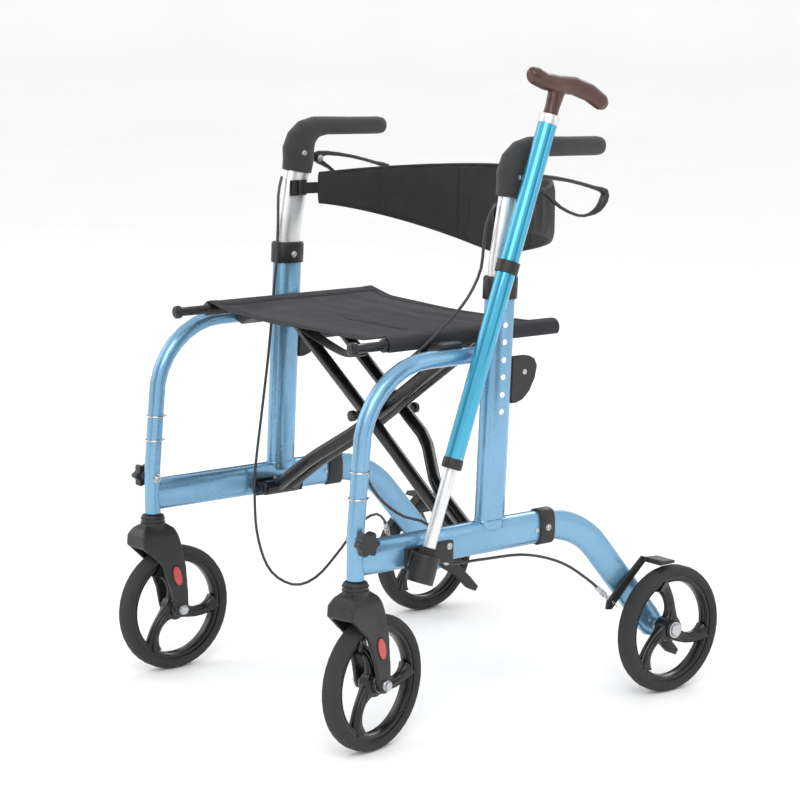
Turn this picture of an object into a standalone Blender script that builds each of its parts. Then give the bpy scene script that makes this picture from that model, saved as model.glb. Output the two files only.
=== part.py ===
"""Folding four-wheeled walker with seat, back strap, loop brakes and a clipped-on cane.

Metres, +Z up, the walker faces -Y and its user's left side is +X.
"""
import math

import bmesh
import bpy
from mathutils import Matrix, Vector

for old in list(bpy.data.objects):
    bpy.data.objects.remove(old, do_unlink=True)

# ---------------------------------------------------------------- dimensions
Y_SHIFT = 0.0032            # centres the whole walker on Y = 0
GAP = 0.0003                # clearance between touching pieces

SIDE_X = 0.262              # plane of each side frame
TUBE_R = 0.0127             # front tube
FRONT_Y = -0.315
FRONT_Z0 = 0.258
ARCH_R = 0.120
ARCH_Z = 0.560
ARCH_FRONT_Y = -0.306         # the tube leans back by this much at the arch's foot
LEAN_START_Z = 0.330
STEM_R = 0.0080
STEM_BORE_R = 0.0085
STEM_TOP_Z = 0.296

RAIL_Z = 0.288
RAIL_HALF_H = 0.025
RAIL_HALF_W = 0.0125
RAIL_END_Y = 0.0365
RAIL_BORE_Y = -0.026

UP_Y300 = -0.068            # upright axis at z = 0.300
UP_SLOPE = 0.040
UP_HALF_Y = 0.025
UP_HALF_X = 0.015
UP_TOP_Z = 0.662
UP_BORE_Z = 0.400

POST_HALF_Y = 0.0220
POST_HALF_X = 0.0122
POST_LOW_Z = 0.440
POST_BEND_Z = 0.678
POST_LEAN = math.radians(10.0)

LEG_HALF = 0.0225
LEG_HALF_X = 0.0107
LEG_ARC_Y = 0.040
LEG_ARC_R = 0.145
LEG_ARC_ANGLE = math.radians(49.0)

WHEEL_R = 0.100
WHEEL_SEGMENTS = 40
WHEEL_Z = WHEEL_R * math.cos(math.pi / WHEEL_SEGMENTS)
TYRE_HALF_W = 0.0140
TYRE_INNER_R = 0.0835
REAR_WHEEL_X = 0.3010
REAR_WHEEL_Y = 0.2700
CASTER_TRAIL = 0.0388
SWIVEL_LEFT = math.radians(12.0)
SWIVEL_RIGHT = math.radians(2.0)

BRACE_R = 0.0100
BRACE_FOOT = (0.232, 0.278)   # x, z of the lower pivot
BRACE_MID_Z = 0.4322          # z of the crossing bolt at x = 0
BRACE_TOP = (0.2225, 0.580)   # x, z of the seat rail
A_FRONT_Y = -0.0930
A_REAR_Y = -0.0210
B_FRONT_Y = -0.0690
B_REAR_Y = -0.0450
FOOT_Y0 = -0.1205
FOOT_Y1 = -0.0580
BOLT_R = 0.0050
BOLT_BORE_R = 0.0053

SEAT_RAIL_R = 0.0100
SEAT_Y0 = -0.2345
SEAT_Y1 = 0.0885
SEAT_T = 0.0030
SEAT_SAG = 0.006

BACK_X = 0.2345
BACK_Y = -0.0225
BACK_DEPTH = 0.190
BACK_T = 0.0120

CANE_X = 0.2955
CANE_FOOT = (-0.2080, 0.300)    # y, z on the cane's axis
CANE_SLOPE = 0.3555             # dy / dz of the cane
CANE_SHAFT_R = 0.0140
CANE_LOWER_R = 0.0095

BLUE = (0.22, 0.45, 0.72)
CYAN = (0.10, 0.47, 0.78)
SILVER = (0.80, 0.81, 0.82)
STEEL = (0.62, 0.63, 0.64)
BLACK = (0.035, 0.036, 0.038)
TYRE_GREY = (0.060, 0.060, 0.066)
CLOTH = (0.045, 0.046, 0.058)
WOOD = (0.13, 0.045, 0.022)
X_AXIS = Vector((1, 0, 0))
Y_AXIS = Vector((0, 1, 0))
Z_AXIS = Vector((0, 0, 1))


# ---------------------------------------------------------------- helpers
def material(name, colour, rough, metal):
    mat = bpy.data.materials.new(name)
    mat.use_nodes = True
    bsdf = mat.node_tree.nodes["Principled BSDF"]
    bsdf.inputs["Base Color"].default_value = (*colour, 1.0)
    bsdf.inputs["Roughness"].default_value = rough
    bsdf.inputs["Metallic"].default_value = metal
    mat.diffuse_color = (*colour, 1.0)
    return mat


def finish_mesh(bm, name, look, smooth=35.0, centre=None, matrix=None):
    """Turn a bmesh into a shaded object whose origin is at centre."""
    if matrix is not None:
        bm.transform(matrix)
    bmesh.ops.remove_doubles(bm, verts=bm.verts, dist=1e-7)
    bmesh.ops.recalc_face_normals(bm, faces=bm.faces)
    limit = math.radians(smooth)
    for edge in bm.edges:
        sharp = len(edge.link_faces) != 2 or edge.calc_face_angle(0.0) > limit
        edge.smooth = not sharp
    for face in bm.faces:
        face.smooth = True
    mesh = bpy.data.meshes.new(name)
    shift = Vector((0, Y_SHIFT, 0))
    origin = Vector(centre) + shift if centre is not None else Vector((0, 0, 0))
    bm.transform(Matrix.Translation(shift - origin))
    bm.to_mesh(mesh)
    bm.free()
    mesh.materials.append(material(name, *look))
    obj = bpy.data.objects.new(name, mesh)
    obj.location = origin
    bpy.context.scene.collection.objects.link(obj)
    return obj


def loft(rings, close=False):
    """A closed skin over rings of equal length, capped unless close is set."""
    bm = bmesh.new()
    grid = [[bm.verts.new(p) for p in ring] for ring in rings]
    count = len(rings[0])
    steps = len(grid) if close else len(grid) - 1
    for i in range(steps):
        low = grid[i]
        high = grid[(i + 1) % len(grid)]
        for j in range(count):
            k = (j + 1) % count
            bm.faces.new((low[j], low[k], high[k], high[j]))
    if not close:
        bm.faces.new(list(reversed(grid[0])))
        bm.faces.new(grid[-1])
    return bm


def oval(centre, side, up, half_side, half_up, count, power=2.0):
    """A ring around centre: an ellipse, or squarer when power is over 2."""
    points = []
    for i in range(count):
        angle = 2 * math.pi * (i + 0.5) / count
        c = math.cos(angle)
        s = math.sin(angle)
        a = math.copysign(abs(c) ** (2 / power), c) * half_side
        b = math.copysign(abs(s) ** (2 / power), s) * half_up
        points.append(Vector(centre) + side * a + up * b)
    return points


def tangents(path):
    out = []
    for i in range(len(path)):
        before = path[max(i - 1, 0)]
        after = path[min(i + 1, len(path) - 1)]
        out.append((Vector(after) - Vector(before)).normalized())
    return out


def sweep_rings(path, sizes, count, side=X_AXIS, power=2.0):
    """Rings along path; sizes holds (half along side, half across) for each."""
    rings = []
    for point, tangent, size in zip(path, tangents(path), sizes):
        flat = (side - tangent * side.dot(tangent)).normalized()
        cross = tangent.cross(flat)
        rings.append(oval(point, flat, cross, size[0], size[1], count, power))
    return rings


def tube(path, radius, count, side=X_AXIS):
    return loft(sweep_rings(path, [(radius, radius)] * len(path), count, side))


def revolve(profile, axis_point, axis, side, count, close=True, start=0.5):
    """Revolve (along axis, radius) pairs about an axis; close makes a ring."""
    up = axis.cross(side)
    bm = bmesh.new()
    base = Vector(axis_point)
    grid = []
    for along, radius in profile:
        ring = []
        for i in range(count):
            angle = 2 * math.pi * (i + start) / count
            radial = side * math.cos(angle) + up * math.sin(angle)
            ring.append(bm.verts.new(base + axis * along + radial * radius))
        grid.append(ring)
    steps = len(grid) if close else len(grid) - 1
    for i in range(steps):
        low = grid[i]
        high = grid[(i + 1) % len(grid)]
        for j in range(count):
            k = (j + 1) % count
            bm.faces.new((low[j], low[k], high[k], high[j]))
    if not close:
        bm.faces.new(list(reversed(grid[0])))
        bm.faces.new(grid[-1])
    return bm


def prism(outline, depth_axis, low, high, first, second, holes=()):
    """Extrude a flat outline, given as (first, second) pairs, along depth_axis."""
    bm = bmesh.new()
    loops = [outline] + list(holes)
    caps = []
    for level in (low, high):
        rings = []
        edges = []
        for loop in loops:
            ring = [bm.verts.new(depth_axis * level + first * a + second * b) for a, b in loop]
            rings.append(ring)
            for i in range(len(ring)):
                edges.append(bm.edges.new((ring[i], ring[(i + 1) % len(ring)])))
        if holes:
            bmesh.ops.triangle_fill(bm, edges=edges, use_beauty=True)
        else:
            bm.faces.new(rings[0])
        caps.append(rings)
    for ring_low, ring_high in zip(caps[0], caps[1]):
        count = len(ring_low)
        for i in range(count):
            k = (i + 1) % count
            bm.faces.new((ring_low[i], ring_low[k], ring_high[k], ring_high[i]))
    return bm


def box(low, high):
    outline = [(low[0], low[1]), (high[0], low[1]), (high[0], high[1]), (low[0], high[1])]
    return prism(outline, Z_AXIS, low[2], high[2], X_AXIS, Y_AXIS)


def circle(cx, cy, radius, count, start=0.0):
    step = 2 * math.pi / count
    return [(cx + radius * math.cos(start + i * step), cy + radius * math.sin(start + i * step))
            for i in range(count)]


def arc_points(cx, cy, radius, a0, a1, count):
    out = []
    for i in range(count):
        angle = math.radians(a0 + (a1 - a0) * i / (count - 1))
        out.append((cx + radius * math.cos(angle), cy + radius * math.sin(angle)))
    return out


def combine(bm, others):
    """Boolean bm with each (operation, bmesh) and return the result as a bmesh."""
    for part in [bm] + [other for _, other in others]:
        bmesh.ops.recalc_face_normals(part, faces=part.faces)
    mesh = bpy.data.meshes.new("work")
    bm.to_mesh(mesh)
    bm.free()
    body = bpy.data.objects.new("work", mesh)
    bpy.context.scene.collection.objects.link(body)
    cutters = []
    for operation, other in others:
        cut_mesh = bpy.data.meshes.new("work_cut")
        other.to_mesh(cut_mesh)
        other.free()
        cutter = bpy.data.objects.new("work_cut", cut_mesh)
        bpy.context.scene.collection.objects.link(cutter)
        modifier = body.modifiers.new("cut", "BOOLEAN")
        modifier.operation = operation
        modifier.solver = "EXACT"
        modifier.object = cutter
        cutters.append(cutter)
    graph = bpy.context.evaluated_depsgraph_get()
    graph.update()
    result = bpy.data.meshes.new_from_object(body.evaluated_get(graph))
    out = bmesh.new()
    out.from_mesh(result)
    for item in [body] + cutters:
        bpy.data.objects.remove(item, do_unlink=True)
    bmesh.ops.remove_doubles(out, verts=out.verts, dist=2e-6)
    bmesh.ops.dissolve_degenerate(out, edges=out.edges, dist=2e-6)
    return out


def mirror(side):
    return Matrix.Diagonal((side, 1, 1, 1))


def up_y(z):
    return UP_Y300 + UP_SLOPE * (z - 0.300)


def up_point(z, x=SIDE_X):
    return Vector((x, up_y(z), z))


def smooth_path(points, steps):
    """A Catmull-Rom curve through the points."""
    pts = [Vector(p) for p in points]
    pts = [pts[0] * 2 - pts[1]] + pts + [pts[-1] * 2 - pts[-2]]
    out = []
    for i in range(1, len(pts) - 2):
        p0, p1, p2, p3 = pts[i - 1], pts[i], pts[i + 1], pts[i + 2]
        for k in range(steps):
            t = k / steps
            out.append(0.5 * ((2 * p1) + (p2 - p0) * t + (2 * p0 - 5 * p1 + 4 * p2 - p3) * t * t
                              + (3 * p1 - p0 - 3 * p2 + p3) * t ** 3))
    out.append(pts[-2])
    return out


def resample(points, spacing):
    total = sum((points[i + 1] - points[i]).length for i in range(len(points) - 1))
    count = max(2, round(total / spacing))
    step = total / count
    out = [points[0].copy()]
    walked = 0.0
    for i in range(len(points) - 1):
        a = points[i]
        b = points[i + 1]
        length = (b - a).length
        while len(out) < count and walked + length >= step * len(out):
            out.append(a.lerp(b, (step * len(out) - walked) / length))
        walked += length
    out.append(points[-1].copy())
    return out


# ---------------------------------------------------------------- side frames
def leg_path():
    path = [Vector((SIDE_X, RAIL_BORE_Y + 0.004, RAIL_Z)), Vector((SIDE_X, LEG_ARC_Y, RAIL_Z))]
    for i in range(1, 9):
        angle = LEG_ARC_ANGLE * i / 8
        path.append(Vector((SIDE_X, LEG_ARC_Y + LEG_ARC_R * math.sin(angle),
                            RAIL_Z - LEG_ARC_R * (1 - math.cos(angle)))))
    end = path[-1]
    run = (end.z - WHEEL_Z) / math.sin(LEG_ARC_ANGLE)
    step = Vector((0, math.cos(LEG_ARC_ANGLE), -math.sin(LEG_ARC_ANGLE)))
    path.append(end + step * (run - 0.010))
    path.append(end + step * (run + 0.004))
    path.append(end + step * (run + 0.012))
    path.append(end + step * (run + 0.017))
    return path


def upright_solid(extra):
    path = [up_point(0.270), up_point(0.700)]
    return loft(sweep_rings(path, [(UP_HALF_X + extra, UP_HALF_Y + extra)] * 2, 20, power=2.3))


def rail_solid(extra):
    path = [Vector((SIDE_X, -0.330, RAIL_Z)), Vector((SIDE_X, 0.060, RAIL_Z))]
    size = (RAIL_HALF_W + extra, RAIL_HALF_H + extra)
    return loft(sweep_rings(path, [size] * 2, 20, power=3.0))


def build_frame(name, side):
    flip = mirror(side)
    blue = (BLUE, 0.32, 0.65)
    black = (BLACK, 0.45, 0.0)

    # front tube: up from the caster, over the arch, into the upright
    path = [Vector((SIDE_X, FRONT_Y, FRONT_Z0)), Vector((SIDE_X, FRONT_Y, LEAN_START_Z)),
            Vector((SIDE_X, ARCH_FRONT_Y - 0.0012, ARCH_Z - ARCH_R - 0.015))]
    for i in range(1, 9):
        angle = math.pi / 2 * i / 8
        path.append(Vector((SIDE_X, ARCH_FRONT_Y + ARCH_R * (1 - math.cos(angle)),
                            ARCH_Z - ARCH_R + ARCH_R * math.sin(angle))))
    path.append(Vector((SIDE_X, up_y(ARCH_Z) - 0.006, ARCH_Z)))
    outer = sweep_rings(path, [(TUBE_R, TUBE_R)] * len(path), 16)
    foot = [Vector((SIDE_X, FRONT_Y, FRONT_Z0)), Vector((SIDE_X, FRONT_Y, STEM_TOP_Z + 0.004))]
    bore = sweep_rings(foot, [(STEM_BORE_R, STEM_BORE_R)] * 2, 16)
    tube_bm = combine(loft(list(reversed(bore)) + outer), [("DIFFERENCE", upright_solid(GAP))])
    finish_mesh(tube_bm, name + "_front_tube", blue, matrix=flip)

    # lower rail: flat oval, open at the back to take the rear leg
    ends = [Vector((SIDE_X, FRONT_Y, RAIL_Z)), Vector((SIDE_X, RAIL_END_Y, RAIL_Z))]
    outer = sweep_rings(ends, [(RAIL_HALF_W, RAIL_HALF_H)] * 2, 20, power=3.0)
    inner_path = [Vector((SIDE_X, RAIL_BORE_Y, RAIL_Z)), Vector((SIDE_X, RAIL_END_Y, RAIL_Z))]
    inner = sweep_rings(inner_path, [(0.0112, 0.0232)] * 2, 20, power=3.0)
    front = [Vector((SIDE_X, FRONT_Y, 0.24)), Vector((SIDE_X, FRONT_Y, 0.34))]
    rail_bm = combine(loft(outer + list(reversed(inner))),
                      [("DIFFERENCE", tube(front, TUBE_R + GAP, 16))])
    finish_mesh(rail_bm, name + "_lower_rail", blue, matrix=flip)

    # upright: oval tube, open at the top to take the handle post
    ends = [up_point(RAIL_Z + 0.012), up_point(UP_TOP_Z)]
    outer = sweep_rings(ends, [(UP_HALF_X, UP_HALF_Y)] * 2, 20, power=2.3)
    ends = [up_point(UP_BORE_Z), up_point(UP_TOP_Z)]
    inner = sweep_rings(ends, [(0.0127, 0.0226)] * 2, 20, power=2.3)
    upright = combine(loft(outer + list(reversed(inner))), [("DIFFERENCE", rail_solid(GAP))])
    finish_mesh(upright, name + "_upright_tube", blue, matrix=flip)

    # rear leg, with the axle hole across its lower end
    path = leg_path()
    sizes = [(LEG_HALF_X, LEG_HALF)] * (len(path) - 3)
    sizes += [(LEG_HALF_X, 0.0215), (LEG_HALF_X, 0.0165), (LEG_HALF_X * 0.9, 0.0070)]
    leg = loft(sweep_rings(path, sizes, 18, power=2.6))
    hole = revolve([(-0.05, 0.0063), (0.05, 0.0063)],
                   (SIDE_X, REAR_WHEEL_Y, WHEEL_Z), X_AXIS, Y_AXIS, 12, close=False)
    finish_mesh(combine(leg, [("DIFFERENCE", hole)]), name + "_rear_leg", blue, matrix=flip)

    # plastic collar over the joint of rail and leg
    rings = []
    for y, hx, hz in ((0.0225, 0.0150, 0.0275), (0.0500, 0.0150, 0.0275),
                      (0.0500, 0.0113, 0.0236), (0.0370, 0.0113, 0.0236),
                      (0.0370, 0.0128, 0.0253), (0.0225, 0.0128, 0.0253)):
        rings.append(oval((SIDE_X, y, RAIL_Z), X_AXIS, Z_AXIS, hx, hz, 20, 3.0))
    finish_mesh(loft(rings, close=True), name + "_rail_collar", black, matrix=flip)

    # plastic collar on the upright's mouth
    lean = Vector((0, UP_SLOPE, 1)).normalized()
    across = lean.cross(X_AXIS) * -1
    rings = []
    for z, hx, hy in ((0.6380, 0.0183, 0.0283), (0.6680, 0.0183, 0.0283),
                      (0.6710, 0.0170, 0.0268), (0.6710, 0.0126, 0.0224),
                      (0.6625, 0.0126, 0.0224), (0.6625, 0.0153, 0.0253),
                      (0.6380, 0.0153, 0.0253)):
        rings.append(oval(up_point(z), X_AXIS, across, hx, hy, 20, 2.3))
    finish_mesh(loft(rings, close=True), name + "_post_collar", black, matrix=flip)

    # curb lever: tapered plastic foot pedal behind the axle, inside the leg
    pedal = [(0.262, 0.112), (0.278, 0.112), (0.292, 0.094), (0.328, 0.060), (0.346, 0.040),
             (0.340, 0.032), (0.322, 0.040), (0.296, 0.066), (0.266, 0.084), (0.258, 0.098)]
    inner_x = SIDE_X - LEG_HALF_X - GAP
    bm = prism(pedal, X_AXIS, inner_x - 0.009, inner_x, Y_AXIS, Z_AXIS)
    hole = revolve([(-0.05, 0.0063), (0.05, 0.0063)],
                   (inner_x, REAR_WHEEL_Y, WHEEL_Z), X_AXIS, Y_AXIS, 12, close=False)
    finish_mesh(combine(bm, [("DIFFERENCE", hole)]), name + "_curb_lever", black, matrix=flip)

    # plastic saddle: sits on the arch's inner top side and cradles the seat rail
    outline = arc_points(SIDE_X, ARCH_Z, TUBE_R + GAP, 205, 78, 9)
    outline += [(0.2648, 0.5790), (0.2560, 0.5815), (0.2400, 0.5800)]
    outline += arc_points(BRACE_TOP[0], BRACE_TOP[1], 0.0140, -8, -140, 8)
    outline += [(0.2095, 0.5690), (0.2130, 0.5600), (0.2330, 0.5490)]
    bm = prism(outline, Y_AXIS, -0.1650, -0.1250, X_AXIS, Z_AXIS)
    finish_mesh(bm, name + "_seat_saddle", black, matrix=flip)

    # bracket and pin that carry the foot of the cross brace
    plate = box((0.2448, -0.1270, 0.2640), (0.2492, -0.0515, 0.2920))
    ear_a = box((0.2230, -0.1270, 0.2690), (0.2480, -0.1212, 0.2870))
    ear_b = box((0.2230, -0.0573, 0.2690), (0.2480, -0.0515, 0.2870))
    pin = revolve([(-0.1300, 0.0065), (-0.1260, 0.0065), (-0.1260, BOLT_R), (-0.0525, BOLT_R),
                   (-0.0525, 0.0065), (-0.0485, 0.0065)],
                  (BRACE_FOOT[0], 0, BRACE_FOOT[1]), Y_AXIS, X_AXIS, 12, close=False)
    bracket = combine(plate, [("UNION", ear_a), ("UNION", ear_b), ("UNION", pin)])
    finish_mesh(bracket, name + "_brace_bracket", (STEEL, 0.35, 0.9), matrix=flip)

    # D-shaped plastic fin behind the upright
    fin = [(up_y(0.550) + UP_HALF_Y, 0.550), (0.000, 0.5500), (0.010, 0.5450), (0.0150, 0.5340),
           (0.0110, 0.5160), (0.001, 0.4980), (-0.012, 0.4860), (-0.0250, 0.4820),
           (up_y(0.482) + UP_HALF_Y, 0.4820)]
    fin = [(max(y, up_y(z) + UP_HALF_Y + 0.0004), z) for y, z in fin]
    bm = prism(fin, X_AXIS, SIDE_X - 0.007, SIDE_X + 0.007, Y_AXIS, Z_AXIS)
    finish_mesh(bm, name + "_rear_fin", black, matrix=flip)

    # brake bracket: strap across the leg, tongue and pad over the tyre
    strap = [(0.158, 0.142), (0.170, 0.140), (0.206, 0.176), (0.240, 0.206), (0.268, 0.2065),
             (0.268, 0.2110), (0.240, 0.2130), (0.232, 0.2160), (0.196, 0.186), (0.160, 0.154)]
    bm = prism(strap, X_AXIS, 0.2750, 0.2790, Y_AXIS, Z_AXIS)
    tongue = [(0.236, 0.2060), (0.268, 0.2065), (0.268, 0.2110), (0.240, 0.2130)]
    top = prism(tongue, X_AXIS, 0.2770, 0.3140, Y_AXIS, Z_AXIS)
    finish_mesh(combine(bm, [("UNION", top)]), name + "_brake_arm", black, matrix=flip,
                centre=(side * 0.277, 0.205, 0.183))


# ---------------------------------------------------------------- handles
def post_path():
    path = [up_point(POST_LOW_Z), up_point(POST_BEND_Z - 0.004)]
    start = up_point(POST_BEND_Z)
    lean0 = math.atan(UP_SLOPE)
    point = start.copy()
    for i in range(1, 5):
        angle = lean0 + (POST_LEAN - lean0) * i / 4
        point = point + Vector((0, math.sin(angle), math.cos(angle))) * 0.006
        path.append(point.copy())
    run = (0.812 - point.z) / math.cos(POST_LEAN)
    path.append(point + Vector((0, math.sin(POST_LEAN), math.cos(POST_LEAN))) * run)
    return path


def build_handle(name, side):
    flip = mirror(side)
    path = post_path()
    size = [(POST_HALF_X, POST_HALF_Y)] * len(path)
    finish_mesh(loft(sweep_rings(path, size, 20, power=2.3)), name + "_handle_post",
                (SILVER, 0.28, 0.9), matrix=flip)

    # one moulded piece: socket on the post, elbow, straight grip
    top = path[-1]
    lean = Vector((0, math.sin(POST_LEAN), math.cos(POST_LEAN)))
    mouth = top - lean * 0.030
    bore_end = top + lean * GAP
    spine = [mouth, mouth + lean * 0.018]
    sizes = [(0.0165, 0.0265), (0.0172, 0.0280)]
    for y, z, hx, hn in ((-0.0325, 0.8180, 0.0176, 0.0290), (-0.0270, 0.8330, 0.0176, 0.0270),
                         (-0.0160, 0.8455, 0.0172, 0.0225), (0.0010, 0.8530, 0.0160, 0.0175),
                         (0.0220, 0.8545, 0.0150, 0.0150), (0.0700, 0.8530, 0.0145, 0.0145),
                         (0.1280, 0.8515, 0.0145, 0.0145), (0.1375, 0.8513, 0.0130, 0.0130),
                         (0.1415, 0.8512, 0.0090, 0.0090)):
        spine.append(Vector((SIDE_X, y, z)))
        sizes.append((hx, hn))
    outer = sweep_rings(spine, sizes, 18, power=2.2)
    inner = sweep_rings([mouth, bore_end], [(POST_HALF_X + 0.0006, POST_HALF_Y + 0.0006)] * 2,
                        18, power=2.3)
    finish_mesh(loft(list(reversed(inner)) + outer), name + "_handle_grip", (BLACK, 0.55, 0.0), matrix=flip)

    # loop-shaped brake lever under the grip
    ring = [(0.0020, 0.8060), (0.0250, 0.8100), (0.0780, 0.8020), (0.1250, 0.7900),
            (0.1480, 0.7830), (0.1470, 0.7700), (0.1360, 0.7570), (0.1180, 0.7500),
            (0.0950, 0.7500), (0.0600, 0.7640), (0.0300, 0.7860), (0.0100, 0.7970)]
    half = [(0.0075, 0.0070), (0.0060, 0.0040), (0.0060, 0.0030), (0.0060, 0.0030),
            (0.0070, 0.0055), (0.0070, 0.0070), (0.0060, 0.0050), (0.0040, 0.0026),
            (0.0040, 0.0024), (0.0040, 0.0024), (0.0050, 0.0030), (0.0070, 0.0050)]
    rings = []
    total = len(ring) * 2
    for i in range(total):
        k = i // 2
        n = (k + 1) % len(ring)
        if i % 2 == 0:
            y, z = ring[k]
            h = half[k]
            before = ring[k - 1]
            after = ring[n]
        else:
            p0, p1, p2, p3 = ring[k - 1], ring[k], ring[n], ring[(k + 2) % len(ring)]
            y = (9 * (p1[0] + p2[0]) - p0[0] - p3[0]) / 16
            z = (9 * (p1[1] + p2[1]) - p0[1] - p3[1]) / 16
            h = ((half[k][0] + half[n][0]) / 2, (half[k][1] + half[n][1]) / 2)
            before = p1
            after = p2
        tangent = Vector((0, after[0] - before[0], after[1] - before[1])).normalized()
        normal = tangent.cross(X_AXIS)
        rings.append(oval((SIDE_X, y, z), X_AXIS, normal, h[0], h[1], 8, 2.6))
    finish_mesh(loft(rings, close=True), name + "_brake_lever", (BLACK, 0.40, 0.1), matrix=flip,
                centre=(side * SIDE_X, 0.006, 0.803))

    # half of the padded back strap
    rings = []
    steps = 14
    for i in range(steps + 1):
        t = math.pi / 2 * i / steps
        c = max(math.cos(t), 0.0)
        x = BACK_X * c ** (2 / 2.4)
        y = BACK_Y + BACK_DEPTH * math.sin(t) ** (2 / 2.4)
        gx = (c ** (2 * 1.4 / 2.4)) / BACK_X
        gy = (math.sin(t) ** (2 * 1.4 / 2.4)) / BACK_DEPTH
        normal = Vector((gx, gy, 0)).normalized()
        share = (i / steps) ** 1.15
        high = 0.781 + 0.022 * share
        low = 0.735 - 0.071 * share
        x = max(x, GAP / 2)
        mid = Vector((x, y, (high + low) / 2))
        ring = oval(mid, normal, Z_AXIS, BACK_T / 2, (high - low) / 2, 12, 4.0)
        if i == steps:
            ring = [Vector((GAP / 2, p.y, p.z)) for p in ring]
        rings.append(ring)
    finish_mesh(loft(rings), name + "_back_pad", (CLOTH, 0.85, 0.0), matrix=flip)


# ---------------------------------------------------------------- wheels
def wheel(name, frame_matrix, centre, hub_half):
    """Tyre and three-spoke rim around local X, placed by frame_matrix."""
    base = Vector(centre)
    profile = [(-0.0100, TYRE_INNER_R), (-0.0135, 0.0885), (-0.0140, 0.0930),
               (-0.0110, 0.0978), (-0.0055, WHEEL_R), (0.0055, WHEEL_R), (0.0110, 0.0978),
               (0.0140, 0.0930), (0.0135, 0.0885), (0.0100, TYRE_INNER_R)]
    down = Vector((0, 0, -1))
    bm = revolve(profile, base, X_AXIS, down, WHEEL_SEGMENTS, close=True)
    pivot = frame_matrix @ base
    finish_mesh(bm, name + "_tyre", (TYRE_GREY, 0.75, 0.0), matrix=frame_matrix, centre=pivot)

    outer = circle(0, 0, TYRE_INNER_R - GAP, WHEEL_SEGMENTS)
    holes = []
    for k in range(3):
        turn = 2 * math.pi * k / 3 + math.radians(60)
        window = []
        for radius, start, end, count in ((0.0740, -44, 44, 8), (0.0690, 51, 51, 1),
                                          (0.0480, 47, 47, 1), (0.0300, 30, 30, 1),
                                          (0.0250, 0, 0, 1), (0.0300, -30, -30, 1),
                                          (0.0480, -42, -42, 1), (0.0690, -50, -50, 1)):
            for i in range(count):
                angle = math.radians(start + (end - start) * (i / (count - 1) if count > 1 else 0))
                window.append((radius * math.cos(angle + turn), radius * math.sin(angle + turn)))
        holes.append(window)
    bore = circle(0, 0, 0.0063, 12)
    plate = prism(outer, X_AXIS, -0.0085, 0.0085, Y_AXIS, Z_AXIS, holes + [bore])
    hub = revolve([(-hub_half, 0.0063), (-hub_half, 0.0150), (hub_half, 0.0150),
                   (hub_half, 0.0063)], (0, 0, 0), X_AXIS, Y_AXIS, 12, close=True, start=0.0)
    bm = combine(plate, [("UNION", hub)])
    bm.transform(Matrix.Translation(base))
    finish_mesh(bm, name + "_rim", (BLACK, 0.40, 0.0), matrix=frame_matrix, centre=pivot)


def build_caster(name, side, swivel):
    place = Matrix.Translation((side * SIDE_X, FRONT_Y, 0)) @ Matrix.Rotation(swivel, 4, "Z")
    axle = Vector((0, CASTER_TRAIL, WHEEL_Z))

    side_view = [(-0.0340, 0.2080), (-0.0340, 0.2240), (-0.0280, 0.2360), (-0.0180, 0.2410),
                 (0.0180, 0.2410), (0.0290, 0.2330), (0.0360, 0.2150), (0.0470, 0.1700),
                 (0.0510, 0.1250), (0.0520, 0.1000), (0.0480, 0.0900), (0.0388, 0.0865),
                 (0.0296, 0.0900), (0.0256, 0.1000), (0.0200, 0.1300), (0.0020, 0.1750),
                 (-0.0200, 0.1950)]
    front_view = [(-0.0250, 0.0800), (-0.0250, 0.2080), (-0.0235, 0.2240), (-0.0180, 0.2345),
                  (-0.0120, 0.2420), (0.0120, 0.2420), (0.0180, 0.2345), (0.0235, 0.2240),
                  (0.0250, 0.2080), (0.0250, 0.0800)]
    body = prism(side_view, X_AXIS, -0.03, 0.03, Y_AXIS, Z_AXIS)
    front = prism(front_view, Y_AXIS, -0.06, 0.08, X_AXIS, Z_AXIS)
    slot = box((-0.0178, -0.08, 0.05), (0.0178, 0.10, 0.2050))
    cap = revolve([(0.2300, 0.0185), (0.2540, 0.0185), (0.2560, 0.0165), (0.2572, STEM_R),
                   (STEM_TOP_Z, STEM_R)], (0, 0, 0), Z_AXIS, X_AXIS, 16, close=False)
    hole = revolve([(-0.05, 0.0063), (0.05, 0.0063)], axle, X_AXIS, Y_AXIS, 12, close=False)
    fork = combine(body, [("INTERSECT", front), ("DIFFERENCE", slot), ("UNION", cap),
                          ("DIFFERENCE", hole)])
    finish_mesh(fork, name + "_caster_fork", (BLACK, 0.48, 0.0), matrix=place,
                centre=(side * SIDE_X, FRONT_Y, 0.24))
    wheel(name + "_front", place, axle, 0.0160)
    bolt = revolve([(-0.0290, 0.0080), (-0.0253, 0.0090), (-0.0253, 0.0060), (0.0253, 0.0060),
                    (0.0253, 0.0090), (0.0290, 0.0080)], axle, X_AXIS, Y_AXIS, 12, close=False)
    finish_mesh(bolt, name + "_front_axle", (STEEL, 0.30, 0.95), matrix=place)


def build_rear_wheel(name, side):
    centre = (REAR_WHEEL_X, REAR_WHEEL_Y, WHEEL_Z)
    wheel(name + "_rear", mirror(side), centre, 0.0160)
    bolt = revolve([(0.2380, 0.0100), (0.2418, 0.0100), (0.2418, 0.0060), (0.2732, 0.0060),
                    (0.2732, 0.0100), (0.2846, 0.0100), (0.2846, 0.0060), (0.3173, 0.0060),
                    (0.3173, 0.0100), (0.3205, 0.0090)],
                   (0, REAR_WHEEL_Y, WHEEL_Z), X_AXIS, Y_AXIS, 12, close=False)
    finish_mesh(bolt, name + "_rear_axle", (STEEL, 0.30, 0.95), matrix=mirror(side))


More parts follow.
